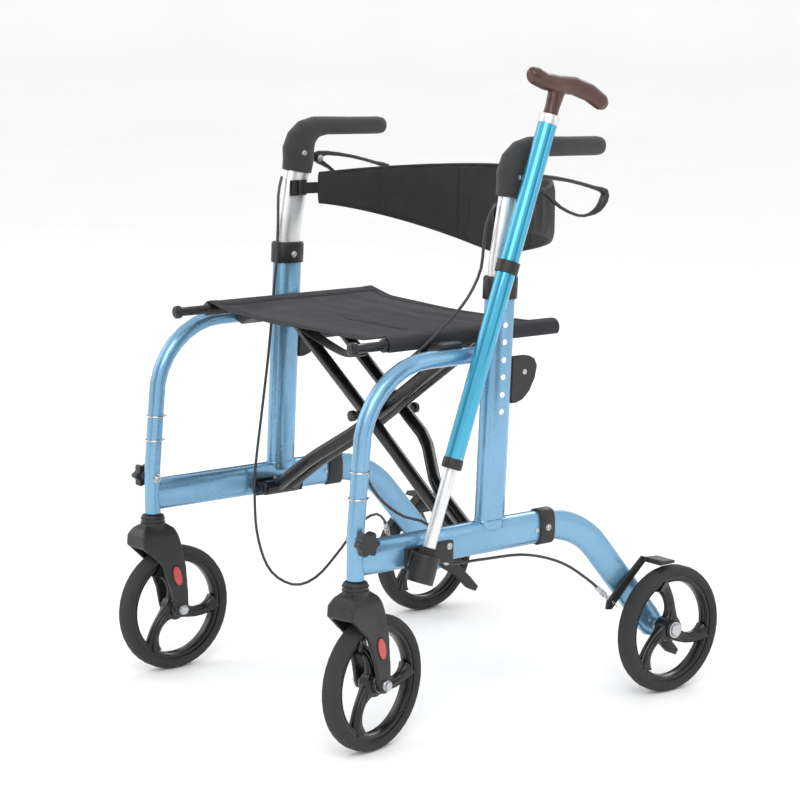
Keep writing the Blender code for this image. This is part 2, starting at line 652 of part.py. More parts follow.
# ---------------------------------------------------------------- small parts
def build_knob(name, side):
    outline = []
    for i in range(30):
        angle = 2 * math.pi * i / 30
        radius = 0.0165 + 0.0030 * math.cos(6 * angle)
        outline.append((FRONT_Y + radius * math.cos(angle), 0.315 + radius * math.sin(angle)))
    star = prism(outline, X_AXIS, 0.2810, 0.2950, Y_AXIS, Z_AXIS)
    boss = revolve([(0.2750, 0.0060), (0.2850, 0.0095)], (0, FRONT_Y, 0.315), X_AXIS, Y_AXIS,
                   12, close=False)
    finish_mesh(combine(star, [("UNION", boss)]), name + "_star_knob", (BLACK, 0.45, 0.0),
                matrix=mirror(side), centre=(side * 0.288, FRONT_Y, 0.315))


def build_cable(name, points):
    path = resample(smooth_path(points, 12), 0.0165)
    curve = bpy.data.curves.new(name, "CURVE")
    curve.dimensions = "3D"
    curve.bevel_depth = 0.0024
    curve.bevel_resolution = 2
    curve.use_fill_caps = True
    spline = curve.splines.new("POLY")
    spline.points.add(len(path) - 1)
    for point, slot in zip(path, spline.points):
        slot.co = (point.x, point.y + Y_SHIFT, point.z, 1)
    curve.materials.append(material(name, BLACK, 0.5, 0.0))
    bpy.context.scene.collection.objects.link(bpy.data.objects.new(name, curve))


# ---------------------------------------------------------------- seat and brace
def brace_point(share, y):
    """A point on the brace: 0 at the foot, 1 at the crossing, 2 at the seat rail."""
    foot = Vector((BRACE_FOOT[0], y, BRACE_FOOT[1]))
    mid = Vector((0, y, BRACE_MID_Z))
    top = Vector((-BRACE_TOP[0], y, BRACE_TOP[1]))
    if share <= 1:
        return foot.lerp(mid, share)
    return mid.lerp(top, share - 1)


def build_brace(name, side, front_y, rear_y, foot_front, foot_rear, with_bolt):
    """Two tubes joined by a pivot sleeve at the foot and a cross tube near the seat."""
    def leg(y_foot, y_mid):
        path = [brace_point(0.0, y_foot), brace_point(0.35, y_foot)]
        for share, blend in ((0.45, 0.15), (0.70, 0.85)):
            path.append(brace_point(share, y_foot + (y_mid - y_foot) * blend))
        path += [brace_point(0.80, y_mid), brace_point(2.0, y_mid)]
        return tube(path, BRACE_R, 12, Y_AXIS)

    sleeve = revolve([(FOOT_Y0, 0.0118), (FOOT_Y1, 0.0118)],
                     (BRACE_FOOT[0], 0, BRACE_FOOT[1]), Y_AXIS, X_AXIS, 16, close=False)
    spot = brace_point(1.70, 0)
    cross = revolve([(front_y, 0.0080), (rear_y, 0.0080)], (spot.x, 0, spot.z), Y_AXIS,
                    X_AXIS, 10, close=False)
    rail = revolve([(-0.3, SEAT_RAIL_R + GAP), (0.1, SEAT_RAIL_R + GAP)],
                   (-BRACE_TOP[0], 0, BRACE_TOP[1]), Y_AXIS, X_AXIS, 16, close=False)
    if with_bolt:
        profile = [(-0.1250, 0.0085), (-0.1170, 0.0085), (-0.1170, 0.0065), (-0.0980, 0.0065),
                   (-0.0980, BOLT_R), (-0.0160, BOLT_R), (-0.0160, 0.0065), (-0.0020, 0.0065),
                   (-0.0020, 0.0085), (0.0050, 0.0085)]
    else:
        profile = [(-0.2, BOLT_BORE_R), (0.1, BOLT_BORE_R)]
    bolt = revolve(profile, (0, 0, BRACE_MID_Z), Y_AXIS, X_AXIS, 12, close=False)
    pin = revolve([(-0.2, BOLT_BORE_R), (0.0, BOLT_BORE_R)],
                  (BRACE_FOOT[0], 0, BRACE_FOOT[1]), Y_AXIS, X_AXIS, 12, close=False)
    bm = combine(leg(foot_front, front_y),
                 [("UNION", leg(foot_rear, rear_y)), ("UNION", sleeve), ("UNION", cross),
                  ("DIFFERENCE", rail), ("UNION" if with_bolt else "DIFFERENCE", bolt),
                  ("DIFFERENCE", pin)])
    finish_mesh(bm, name, (BLACK, 0.35, 0.4), matrix=mirror(side),
                centre=(side * BRACE_FOOT[0], 0, BRACE_FOOT[1]))


def build_seat_side(name, side):
    x, z = BRACE_TOP
    rail = revolve([(-0.2975, 0.0070), (-0.2955, 0.0100), (-0.2880, 0.0100), (-0.2860, 0.0070),
                    (-0.2400, 0.0070), (-0.2390, SEAT_RAIL_R), (SEAT_Y1 - 0.004, SEAT_RAIL_R),
                    (SEAT_Y1, 0.0080)], (x, 0, z), Y_AXIS, X_AXIS, 16, close=False)
    finish_mesh(rail, name + "_seat_rail", (BLACK, 0.40, 0.2), matrix=mirror(side))

    r0 = SEAT_RAIL_R + GAP
    r1 = r0 + SEAT_T
    top = []
    low = []
    for i in range(7):
        share = i / 6
        px = GAP / 2 + (x - GAP / 2) * share
        drop = SEAT_SAG * (1 - share * share)
        top.append((px, z + r1 - drop))
        low.append((px, z + r0 - drop))
    outer = arc_points(x, z, r1, 78, -45, 8)
    inner = arc_points(x, z, r0, -45, 78, 8)
    outline = top + outer + inner + list(reversed(low))
    bm = prism(outline, Y_AXIS, SEAT_Y0, SEAT_Y1, X_AXIS, Z_AXIS)
    finish_mesh(bm, name + "_seat_panel", (CLOTH, 0.85, 0.0), matrix=mirror(side))


# ---------------------------------------------------------------- cane
def build_cane():
    axis = Vector((0, CANE_SLOPE, 1)).normalized()
    foot = Vector((CANE_X, CANE_FOOT[0], CANE_FOOT[1]))

    def on_axis(z):
        return (z - foot.z) / axis.z

    outer = [(on_axis(0.902), CANE_SHAFT_R), (on_axis(0.408), CANE_SHAFT_R),
             (on_axis(0.408), CANE_LOWER_R + 0.0004), (on_axis(0.640), CANE_LOWER_R + 0.0004)]
    finish_mesh(revolve(outer, foot, axis, X_AXIS, 20, close=False), "cane_shaft",
                (CYAN, 0.25, 0.6))
    lower = [(on_axis(0.5200), CANE_LOWER_R), (on_axis(0.2960), CANE_LOWER_R)]
    finish_mesh(revolve(lower, foot, axis, X_AXIS, 16, close=False), "cane_lower_tube",
                (SILVER, 0.25, 0.9))
    tip = [(on_axis(0.2957), 0.0120), (on_axis(0.2640), 0.0152), (on_axis(0.2560), 0.0152)]
    finish_mesh(revolve(tip, foot, axis, X_AXIS, 16, close=False), "cane_tip",
                (BLACK, 0.8, 0.0))

    # wooden derby handle on a short neck, long end to the rear
    neck = foot + axis * on_axis(0.9024)
    spine = [neck, neck + axis * 0.012, neck + axis * 0.026, neck + axis * 0.041]
    grip = loft(sweep_rings(spine, [(0.0110, 0.0110), (0.0105, 0.0110), (0.0105, 0.0130),
                                    (0.0092, 0.0150)], 14, X_AXIS))
    bar = []
    sizes = []
    for y, z, hx, hn in ((-0.0345, 0.9600, 0.0075, 0.0070), (-0.0315, 0.9605, 0.0105, 0.0115),
                         (-0.0230, 0.9585, 0.0120, 0.0135), (-0.0060, 0.9510, 0.0125, 0.0130),
                         (0.0200, 0.9460, 0.0130, 0.0135), (0.0500, 0.9430, 0.0130, 0.0140),
                         (0.0800, 0.9330, 0.0125, 0.0140), (0.1050, 0.9180, 0.0115, 0.0130),
                         (0.1130, 0.9120, 0.0070, 0.0080)):
        bar.append(Vector((CANE_X, y, z)))
        sizes.append((hx, hn))
    bar_bm = loft(sweep_rings(bar, sizes, 14, X_AXIS))
    finish_mesh(combine(grip, [("UNION", bar_bm)]), "cane_handle", (WOOD, 0.35, 0.0))

    # holder on the lower rail: cup around the cane's tip, with a bolted plate
    cup = revolve([(on_axis(0.2475), 0.0202), (on_axis(0.2860), 0.0202),
                   (on_axis(0.2860), 0.0158), (on_axis(0.2553), 0.0158)],
                  foot, axis, X_AXIS, 18, close=False)
    arm = box((0.2749, -0.2380, 0.2640), (0.2800, -0.1500, 0.2960))
    bore = revolve([(on_axis(0.2553), 0.0158), (on_axis(0.3500), 0.0158)],
                   foot, axis, X_AXIS, 18, close=False)
    holder = combine(cup, [("UNION", arm), ("DIFFERENCE", bore)])
    finish_mesh(holder, "cane_cup", (BLACK, 0.5, 0.0))

    # clip on the upright's collar, open ring around the cane's shaft
    clip_at = foot + axis * on_axis(0.688)
    ring = revolve([(-0.009, CANE_SHAFT_R + GAP), (-0.009, CANE_SHAFT_R + 0.0030),
                    (0.009, CANE_SHAFT_R + 0.0030), (0.009, CANE_SHAFT_R + GAP)],
                   clip_at, axis, X_AXIS, 20, close=True)
    post = box((0.2806, -0.0700, 0.6400), (0.2900, -0.0480, 0.6980))
    shaft_cut = revolve([(-0.2, CANE_SHAFT_R + GAP), (0.2, CANE_SHAFT_R + GAP)], clip_at, axis,
                        X_AXIS, 20, close=False)
    clip = combine(ring, [("UNION", post), ("DIFFERENCE", shaft_cut)])
    finish_mesh(clip, "cane_clip", (BLACK, 0.5, 0.0))


for side_name, side_sign in (("left", 1), ("right", -1)):
    build_frame(side_name, side_sign)
    build_handle(side_name, side_sign)
    build_rear_wheel(side_name, side_sign)
    build_knob(side_name, side_sign)
    build_seat_side(side_name, side_sign)

build_caster("left", 1, SWIVEL_LEFT)
build_caster("right", -1, SWIVEL_RIGHT)
build_brace("brace_a", 1, A_FRONT_Y, A_REAR_Y, -0.0960, -0.0690, True)
build_brace("brace_b", -1, B_FRONT_Y, B_REAR_Y, -0.0960, -0.0690, False)

build_cane()

LEFT_CABLE = [(0.262, -0.0650, 0.7760), (0.256, -0.0760, 0.7500), (0.246, -0.0730, 0.7150),
              (0.241, -0.0740, 0.6780), (0.2395, -0.0960, 0.6400), (0.2400, -0.1320, 0.6080),
              (0.2435, -0.1740, 0.5810), (0.2450, -0.2150, 0.5560), (0.2450, -0.2540, 0.5230),
              (0.2450, -0.2840, 0.4750), (0.2450, -0.2900, 0.4200), (0.2430, -0.2640, 0.3720),
              (0.2420, -0.2200, 0.3360), (0.2400, -0.1750, 0.3190), (0.2380, -0.1500, 0.2980),
              (0.2380, -0.1430, 0.2660), (0.2400, -0.1200, 0.2490), (0.2400, -0.0600, 0.2460),
              (0.2440, 0.0200, 0.2420), (0.2500, 0.0900, 0.2200), (0.2620, 0.1400, 0.1850),
              (0.2720, 0.1640, 0.1600)]
RIGHT_CABLE = [(-0.262, -0.0650, 0.7760), (-0.256, -0.0760, 0.7500), (-0.250, -0.0810, 0.7100),
               (-0.243, -0.0880, 0.6600), (-0.240, -0.0960, 0.6000), (-0.238, -0.1080, 0.5000),
               (-0.238, -0.1220, 0.4000), (-0.240, -0.1320, 0.3200), (-0.240, -0.1345, 0.2700),
               (-0.240, -0.1290, 0.2000), (-0.240, -0.1040, 0.1380), (-0.240, -0.0560, 0.1060),
               (-0.240, -0.0100, 0.1120), (-0.240, 0.0360, 0.1480), (-0.240, 0.0800, 0.1900),
               (-0.246, 0.1200, 0.2000), (-0.260, 0.1500, 0.1800), (-0.272, 0.1640, 0.1600)]
build_cable("left_brake_cable", LEFT_CABLE)
build_cable("right_brake_cable", RIGHT_CABLE)
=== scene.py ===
"""Looks of a folding rollator walker with a cane holder, built round its CAD frame."""
import math

import bmesh
import bpy
from mathutils import Matrix, Vector, noise


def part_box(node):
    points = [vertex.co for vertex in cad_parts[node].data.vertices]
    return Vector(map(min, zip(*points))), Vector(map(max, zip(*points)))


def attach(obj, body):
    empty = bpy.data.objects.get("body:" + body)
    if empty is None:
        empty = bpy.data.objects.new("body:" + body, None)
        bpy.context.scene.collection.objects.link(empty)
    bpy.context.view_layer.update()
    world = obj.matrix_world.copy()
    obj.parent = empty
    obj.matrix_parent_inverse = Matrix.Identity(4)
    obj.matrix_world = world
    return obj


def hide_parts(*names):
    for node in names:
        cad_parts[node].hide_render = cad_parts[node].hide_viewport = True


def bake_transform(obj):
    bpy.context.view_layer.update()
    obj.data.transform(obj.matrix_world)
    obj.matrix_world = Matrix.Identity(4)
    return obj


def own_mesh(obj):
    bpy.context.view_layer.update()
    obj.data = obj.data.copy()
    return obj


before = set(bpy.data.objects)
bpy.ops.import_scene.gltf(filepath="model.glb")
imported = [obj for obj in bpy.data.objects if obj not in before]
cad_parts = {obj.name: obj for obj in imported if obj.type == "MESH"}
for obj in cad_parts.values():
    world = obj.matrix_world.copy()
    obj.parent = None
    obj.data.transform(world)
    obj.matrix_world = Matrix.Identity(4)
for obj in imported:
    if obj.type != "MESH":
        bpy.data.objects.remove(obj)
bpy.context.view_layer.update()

X_AXIS = Vector((1, 0, 0))
Y_AXIS = Vector((0, 1, 0))
Z_AXIS = Vector((0, 0, 1))
SIDES = (("left", 1), ("right", -1))

# Driving places of the frame, in metres. Y_SHIFT centres the model over its footprint.
Y_SHIFT = 0.0032
SIDE_X = 0.262              # plane of each side frame
FRONT_Y = -0.315 + Y_SHIFT
TUBE_R = 0.0127
RAIL_Z = 0.288
RAIL_HALF_W = 0.0125
UP_HALF_X = 0.015
WHEEL_R = 0.100
SEAT_X = 0.2225
SEAT_Z = 0.580


def upright_y(z):
    """Centre line of the leaning upright."""
    return -0.068 + 0.040 * (z - 0.300) + Y_SHIFT


# ---------------------------------------------------------------- materials
class Look:
    """A Principled material whose detail comes from textures in object space."""

    def __init__(self, name, roughness=0.5, metallic=0.0, **sockets):
        self.material = bpy.data.materials.new(name)
        self.material.use_nodes = True
        self.nodes = self.material.node_tree.nodes
        self.links = self.material.node_tree.links
        self.bsdf = self.nodes["Principled BSDF"]
        self.bsdf.inputs["Roughness"].default_value = roughness
        self.bsdf.inputs["Metallic"].default_value = metallic
        for key, value in sockets.items():
            self.bsdf.inputs[key.replace("_", " ")].default_value = value
        self.place = self.nodes.new("ShaderNodeTexCoord").outputs["Object"]
        self.normal = None

    def uv(self):
        self.place = self.nodes.new("ShaderNodeTexCoord").outputs["UV"]
        return self

    def stretched(self, scale, turn=(0, 0, 0)):
        """The texture place, scaled differently along each axis."""
        node = self.nodes.new("ShaderNodeMapping")
        node.inputs["Scale"].default_value = scale
        node.inputs["Rotation"].default_value = turn
        self.links.new(self.place, node.inputs["Vector"])
        return node.outputs["Vector"]

    def noise(self, scale, detail=3.0, where=None, rough=0.55):
        node = self.nodes.new("ShaderNodeTexNoise")
        node.inputs["Scale"].default_value = scale
        node.inputs["Detail"].default_value = detail
        node.inputs["Roughness"].default_value = rough
        self.links.new(where or self.place, node.inputs["Vector"])
        return node.outputs["Fac"]

    def cells(self, scale):
        node = self.nodes.new("ShaderNodeTexVoronoi")
        node.inputs["Scale"].default_value = scale
        self.links.new(self.place, node.inputs["Vector"])
        return node.outputs["Distance"]

    def bands(self, scale, direction="X", distortion=0.0, where=None):
        node = self.nodes.new("ShaderNodeTexWave")
        node.bands_direction = direction
        node.inputs["Scale"].default_value = scale
        node.inputs["Distortion"].default_value = distortion
        self.links.new(where or self.place, node.inputs["Vector"])
        return node.outputs["Fac"]

    def maths(self, operation, a, b=0.0):
        node = self.nodes.new("ShaderNodeMath")
        node.operation = operation
        for socket, value in zip(node.inputs, (a, b)):
            if isinstance(value, (int, float)):
                socket.default_value = value
            else:
                self.links.new(value, socket)
        return node.outputs[0]

    def colours(self, amount, *stops):
        """Base colour from a ramp of (place, colour) stops."""
        ramp = self.nodes.new("ShaderNodeValToRGB")
        points = ramp.color_ramp.elements
        while len(points) < len(stops):
            points.new(0.5)
        for point, (at, colour) in zip(points, stops):
            point.position = at
            point.color = (*colour, 1.0)
        self.links.new(amount, ramp.inputs["Fac"])
        self.links.new(ramp.outputs["Color"], self.bsdf.inputs["Base Color"])
        return self

    def rough(self, amount, low, high):
        node = self.nodes.new("ShaderNodeMapRange")
        node.inputs["From Min"].default_value = 0.3
        node.inputs["From Max"].default_value = 0.7
        node.inputs["To Min"].default_value = low
        node.inputs["To Max"].default_value = high
        self.links.new(amount, node.inputs["Value"])
        self.links.new(node.outputs["Result"], self.bsdf.inputs["Roughness"])
        return self

    def bump(self, height, strength, distance):
        node = self.nodes.new("ShaderNodeBump")
        node.inputs["Strength"].default_value = strength
        node.inputs["Distance"].default_value = distance
        self.links.new(height, node.inputs["Height"])
        if self.normal is not None:
            self.links.new(self.normal, node.inputs["Normal"])
        self.normal = node.outputs["Normal"]
        self.links.new(self.normal, self.bsdf.inputs["Normal"])
        return self


def shade(colour, share):
    return tuple(min(1.0, c * share) for c in colour)


def painted(name, colour, roughness, metallic, coat):
    """Metallic paint: fine flake, faint orange peel and a few duller patches."""
    look = Look(name, roughness, metallic, Coat_Weight=coat, Coat_Roughness=0.12)
    flake = look.noise(1400, 2)
    patch = look.noise(9, 4)
    look.colours(look.maths("ADD", look.maths("MULTIPLY", flake, 0.12),
                            look.maths("MULTIPLY", patch, 0.88)),
                 (0.30, shade(colour, 0.93)), (0.52, colour), (0.72, shade(colour, 1.06)))
    look.rough(look.noise(24, 5), roughness - 0.04, roughness + 0.07)
    look.bump(look.noise(180, 2), 0.04, 0.0003)
    look.bump(flake, 0.015, 0.0001)
    return look.material


def brushed(name, colour, roughness, metallic, grain=(600, 600, 9)):
    """Drawn or anodised metal: fine lines along one axis, scuffs and small pits."""
    look = Look(name, roughness, metallic)
    lines = look.noise(1.0, 5, look.stretched(grain), 0.7)
    scuff = look.noise(30, 6)
    look.colours(look.maths("ADD", look.maths("MULTIPLY", lines, 0.6),
                            look.maths("MULTIPLY", scuff, 0.4)),
                 (0.25, shade(colour, 0.84)), (0.5, colour), (0.8, shade(colour, 1.08)))
    look.rough(scuff, roughness - 0.06, roughness + 0.12)
    look.bump(lines, 0.12, 0.0002)
    return look.material


def moulded(name, colour, roughness, grain=1500, depth=0.00012):
    """Injection-moulded plastic: spark-eroded grain, flow marks, rubbed lighter spots."""
    look = Look(name, roughness, 0.0)
    fine = look.noise(grain, 3)
    cloud = look.noise(14, 5)
    look.colours(look.maths("ADD", look.maths("MULTIPLY", fine, 0.35),
                            look.maths("MULTIPLY", cloud, 0.65)),
                 (0.30, shade(colour, 0.78)), (0.52, colour), (0.75, shade(colour, 1.32)))
    look.rough(look.noise(40, 5), roughness - 0.07, roughness + 0.12)
    look.bump(fine, 0.35, depth)
    return look.material


def foam(name, colour):
    """Closed-cell foam grip: pores, a soft mottle and a dull finish."""
    look = Look(name, 0.82, 0.0, Sheen_Weight=0.15, Sheen_Roughness=0.6)
    pores = look.cells(1300)
    mottle = look.noise(60, 5)
    look.colours(look.maths("ADD", look.maths("MULTIPLY", pores, 0.35),
                            look.maths("MULTIPLY", mottle, 0.65)),
                 (0.25, shade(colour, 0.75)), (0.5, colour), (0.8, shade(colour, 1.35)))
    look.rough(mottle, 0.74, 0.90)
    look.bump(pores, 0.5, 0.0003)
    return look.material


def tyre_rubber(name, colour, centre):
    """Solid tyre: concentric mould lines on the sidewall, dusty tread, fine grain."""
    look = Look(name, 0.85, 0.0)
    offset = look.nodes.new("ShaderNodeVectorMath")
    offset.operation = "DISTANCE"
    offset.inputs[1].default_value = centre
    look.links.new(look.place, offset.inputs[0])
    radius = offset.outputs["Value"]
    dust = look.noise(45, 6)
    grain = look.noise(900, 3)
    worn = look.maths("MULTIPLY", look.maths("SUBTRACT", radius, 0.088), 9.0)
    look.colours(look.maths("ADD", look.maths("MULTIPLY", dust, 0.9), worn),
                 (0.25, shade(colour, 0.70)), (0.5, colour), (0.85, shade(colour, 1.6)))
    look.rough(dust, 0.78, 0.94)
    lines = look.maths("SINE", look.maths("MULTIPLY", radius, 2 * math.pi / 0.0042))
    look.bump(lines, 0.30, 0.0006)
    look.bump(grain, 0.30, 0.0002)
    return look.material


def woven(name, colour, pitch, sheen, depth):
    """Plain weave in the cloth's own length and width, with slubs and rubbed threads."""
    look = Look(name, 0.8, 0.0, Sheen_Weight=sheen, Sheen_Roughness=0.45).uv()
    turns = math.pi / pitch / math.tau * math.tau / 20
    warp = look.bands(turns, "X")
    weft = look.bands(turns, "Y")
    checks = look.maths("ABSOLUTE", look.maths("SUBTRACT", warp, weft))
    slub = look.noise(1.0, 4, look.stretched((900, 60, 1)))
    cloud = look.noise(26, 5)
    look.colours(look.maths("ADD", look.maths("MULTIPLY", checks, 0.30),
                            look.maths("ADD", look.maths("MULTIPLY", slub, 0.30),
                                       look.maths("MULTIPLY", cloud, 0.40))),
                 (0.25, shade(colour, 0.66)), (0.5, colour), (0.8, shade(colour, 1.45)))
    look.rough(cloud, 0.70, 0.88)
    look.bump(checks, 0.55, depth)
    look.bump(slub, 0.25, depth * 0.6)
    return look.material


def walnut(name, dark, light):
    """Oiled wood: long wavering grain, pores and a satin varnish."""
    look = Look(name, 0.35, 0.0, Coat_Weight=0.20, Coat_Roughness=0.2)
    along = look.stretched((160, 14, 60), (0.30, 0, 0))
    rings = look.noise(1.0, 6, along)
    pores = look.noise(1.0, 4, look.stretched((900, 60, 900), (0.30, 0, 0)))
    look.colours(look.maths("ADD", look.maths("MULTIPLY", rings, 0.55),
                            look.maths("MULTIPLY", pores, 0.45)),
                 (0.30, shade(dark, 0.7)), (0.50, dark), (0.72, light))
    look.rough(pores, 0.30, 0.46)
    look.bump(pores, 0.25, 0.0003)
    return look.material


def reflector(name, colour):
    """Prismatic red reflector under a clear face."""
    look = Look(name, 0.18, 0.0, Coat_Weight=0.8, Coat_Roughness=0.05)
    prism = look.cells(620)
    look.colours(prism, (0.0, shade(colour, 0.55)), (0.4, colour), (0.9, shade(colour, 1.5)))
    look.bump(prism, 0.6, 0.0006)
    return look.material


PAINT_BLUE = painted("paint_blue", (0.190, 0.385, 0.570), 0.25, 0.65, 0.25)
PAINT_CYAN = painted("paint_cyan", (0.055, 0.370, 0.560), 0.17, 0.55, 0.40)
SILVER = brushed("silver_tube", (0.74, 0.75, 0.76), 0.30, 0.75)
STEEL = brushed("zinc_steel", (0.52, 0.53, 0.55), 0.28, 1.0, (90, 90, 90))
PLASTIC = moulded("black_plastic", (0.013, 0.013, 0.014), 0.42)
RIM_PLASTIC = moulded("rim_plastic", (0.005, 0.005, 0.006), 0.24, 1100)
BRACE_BLACK = moulded("brace_paint", (0.008, 0.008, 0.009), 0.24, 420, 0.0002)
FOAM = foam("grip_foam", (0.020, 0.020, 0.021))
CABLE = moulded("cable_jacket", (0.030, 0.030, 0.032), 0.32, 500)
SEAT_CLOTH = woven("seat_cloth", (0.016, 0.016, 0.021), 0.0011, 0.06, 0.0005)
BACK_CLOTH = woven("back_cloth", (0.018, 0.018, 0.019), 0.0009, 0.06, 0.0004)
WEBBING = woven("webbing", (0.009, 0.009, 0.010), 0.0016, 0.08, 0.0006)
THREAD = moulded("thread", (0.038, 0.038, 0.046), 0.75, 2400, 0.0002)
WOOD = walnut("walnut", (0.055, 0.017, 0.008), (0.120, 0.044, 0.021))
TIP_RUBBER = moulded("tip_rubber", (0.014, 0.014, 0.014), 0.80, 800, 0.0003)
FLAG_CLOTH = moulded("flag_cloth", (0.02, 0.02, 0.02), 0.9)
BARE = brushed("bare_aluminium", (0.90, 0.90, 0.90), 0.40, 0.30)
RED = reflector("red_reflector", (0.42, 0.020, 0.018))

CAD_LOOKS = {
    "front_tube": PAINT_BLUE, "lower_rail": PAINT_BLUE, "upright_tube": PAINT_BLUE,
    "rear_leg": PAINT_BLUE, "rail_collar": PLASTIC, "post_collar": PLASTIC,
    "curb_lever": PLASTIC, "seat_saddle": PLASTIC, "brace_bracket": BRACE_BLACK,
    "rear_fin": PLASTIC, "brake_arm": PLASTIC, "handle_post": SILVER, "handle_grip": FOAM,
    "brake_lever": PLASTIC, "front_rim": RIM_PLASTIC, "front_axle": STEEL,
    "rear_rim": RIM_PLASTIC, "rear_axle": STEEL, "caster_fork": PLASTIC,
    "star_knob": PLASTIC, "seat_rail": BRACE_BLACK, "seat_panel": SEAT_CLOTH,
    "back_pad": BACK_CLOTH, "brake_cable": CABLE,
    "brace_a": BRACE_BLACK, "brace_b": BRACE_BLACK, "cane_shaft": PAINT_CYAN,
    "cane_lower_tube": SILVER, "cane_tip": TIP_RUBBER, "cane_handle": WOOD,
    "cane_cup": PLASTIC, "cane_clip": PLASTIC,
}


def middle(node):
    low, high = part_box(node)
    return (Vector(low) + Vector(high)) / 2


SHARP_ANGLE = math.radians(33)
# voxel in metres and number of smoothing passes for the moulded shapes
MOULDED_SHAPES = {
    "caster_fork": (0.0016, 7), "handle_grip": (0.0018, 8), "brake_lever": (0.0011, 4),
    "cane_handle": (0.0013, 8), "star_knob": (0.0011, 4), "seat_saddle": (0.0012, 4),
    "cane_cup": (0.0013, 3), "curb_lever": (0.0012, 4), "rear_fin": (0.0012, 4),
    "brake_arm": (0.0008, 2), "cane_clip": (0.0010, 3), "cane_tip": (0.0012, 3),
}


def shading_group():
    """Geometry nodes that shade smooth and keep edges sharper than SHARP_ANGLE."""
    group = bpy.data.node_groups.new("smooth_by_angle", "GeometryNodeTree")
    group.interface.new_socket("Geometry", in_out="INPUT", socket_type="NodeSocketGeometry")
    group.interface.new_socket("Geometry", in_out="OUTPUT", socket_type="NodeSocketGeometry")
    nodes, links = group.nodes, group.links
    start, end = nodes.new("NodeGroupInput"), nodes.new("NodeGroupOutput")
    clear = nodes.new("GeometryNodeRemoveAttribute")
    clear.inputs["Name"].default_value = "custom_normal"
    faces = nodes.new("GeometryNodeSetShadeSmooth")
    faces.domain = "FACE"
    edges = nodes.new("GeometryNodeSetShadeSmooth")
    edges.domain = "EDGE"
    edges.inputs["Shade Smooth"].default_value = False
    angle = nodes.new("GeometryNodeInputMeshEdgeAngle")
    sharp = nodes.new("FunctionNodeCompare")
    sharp.operation = "GREATER_THAN"
    sharp.inputs[1].default_value = SHARP_ANGLE
    links.new(start.outputs[0], clear.inputs["Geometry"])
    links.new(clear.outputs["Geometry"], faces.inputs["Geometry"])
    links.new(faces.outputs["Geometry"], edges.inputs["Geometry"])
    links.new(angle.outputs["Unsigned Angle"], sharp.inputs[0])
    links.new(sharp.outputs["Result"], edges.inputs["Selection"])
    links.new(edges.outputs["Geometry"], end.inputs[0])
    return group


SMOOTH_BY_ANGLE = shading_group()


def finish_surface(node, short):
    """Rounds a CAD node's corners with modifiers; its own mesh stays as it is."""
    weld = node.modifiers.new("weld", "WELD")
    weld.merge_threshold = 0.00001
    if short in MOULDED_SHAPES:
        voxel, passes = MOULDED_SHAPES[short]
        even = node.modifiers.new("even_skin", "REMESH")
        even.mode = "VOXEL"
        even.voxel_size = voxel
        even.use_smooth_shade = True
        round_off = node.modifiers.new("moulded_corners", "SMOOTH")
        round_off.factor = 0.5
        round_off.iterations = passes
        return
    edge = node.modifiers.new("soft_edges", "BEVEL")
    edge.width = 0.0005
    edge.segments = 2
    edge.limit_method = "ANGLE"
    edge.angle_limit = SHARP_ANGLE
    shading = node.modifiers.new("shading", "NODES")
    shading.node_group = SMOOTH_BY_ANGLE


for node_name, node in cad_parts.items():
    short = node_name.removeprefix("left_").removeprefix("right_")
    if short.endswith("_tyre"):
        look = tyre_rubber("rubber_" + node_name, (0.024, 0.024, 0.025), middle(node_name))
    else:
        look = CAD_LOOKS[short]
    for material_slot in node.material_slots:
        material_slot.material = look
    finish_surface(node, short)


# ---------------------------------------------------------------- mesh tools
def ellipse(centre, u, v, a, b, count, power=2.0):
    """Points of a superellipse in the plane of u and v."""
    points = []
    for i in range(count):
        angle = math.tau * i / count
        c, s = math.cos(angle), math.sin(angle)
        pu = math.copysign(abs(c) ** (2 / power), c) * a
        pv = math.copysign(abs(s) ** (2 / power), s) * b
        points.append(Vector(centre) + u * pu + v * pv)
    return points


def skin(bm, rings, loop=False, capped=True):
    """Quads between rings of points, with its two ends capped."""
    rows = [[bm.verts.new(p) for p in ring] for ring in rings]
    pairs = list(zip(rows, rows[1:])) + ([(rows[-1], rows[0])] if loop else [])
    for first, second in pairs:
        count = len(first)
        for i in range(count):
            j = (i + 1) % count
            bm.faces.new((first[i], first[j], second[j], second[i]))
    if capped and not loop:
        bm.faces.new(list(reversed(rows[0])))
        bm.faces.new(rows[-1])
    return rows


def across(axis):
    """Two directions square to axis and to each other."""
    axis = axis.normalized()
    u = axis.cross(Z_AXIS if abs(axis.z) < 0.9 else X_AXIS).normalized()
    return u, axis.cross(u)


def turned(bm, profile, origin, axis, count=24, loop=False):
    """Revolves (along, radius) points about an axis."""
    u, v = across(axis)
    axis = axis.normalized()
    rings = [ellipse(Vector(origin) + axis * along, u, v, r, r, count) for along, r in profile]
    skin(bm, rings, loop)


def swept(bm, path, a, b=None, count=10, loop=False, up=Z_AXIS, power=2.0, taper=None):
    """A bar of elliptic section along a path; taper scales the section at each point."""
    points = [Vector(p) for p in path]
    total = len(points)
    rings = []
    for i, point in enumerate(points):
        before = points[i - 1] if (i or loop) else point
        after = points[(i + 1) % total] if (i < total - 1 or loop) else point
        tangent = (after - before).normalized()
        u = tangent.cross(up)
        u = u.normalized() if u.length > 1e-6 else across(tangent)[0]
        v = tangent.cross(u)
        scale = taper(i / (total - 1)) if taper else 1.0
        rings.append(ellipse(point, u, v, a * scale, (b or a) * scale, count, power))
    skin(bm, rings, loop)


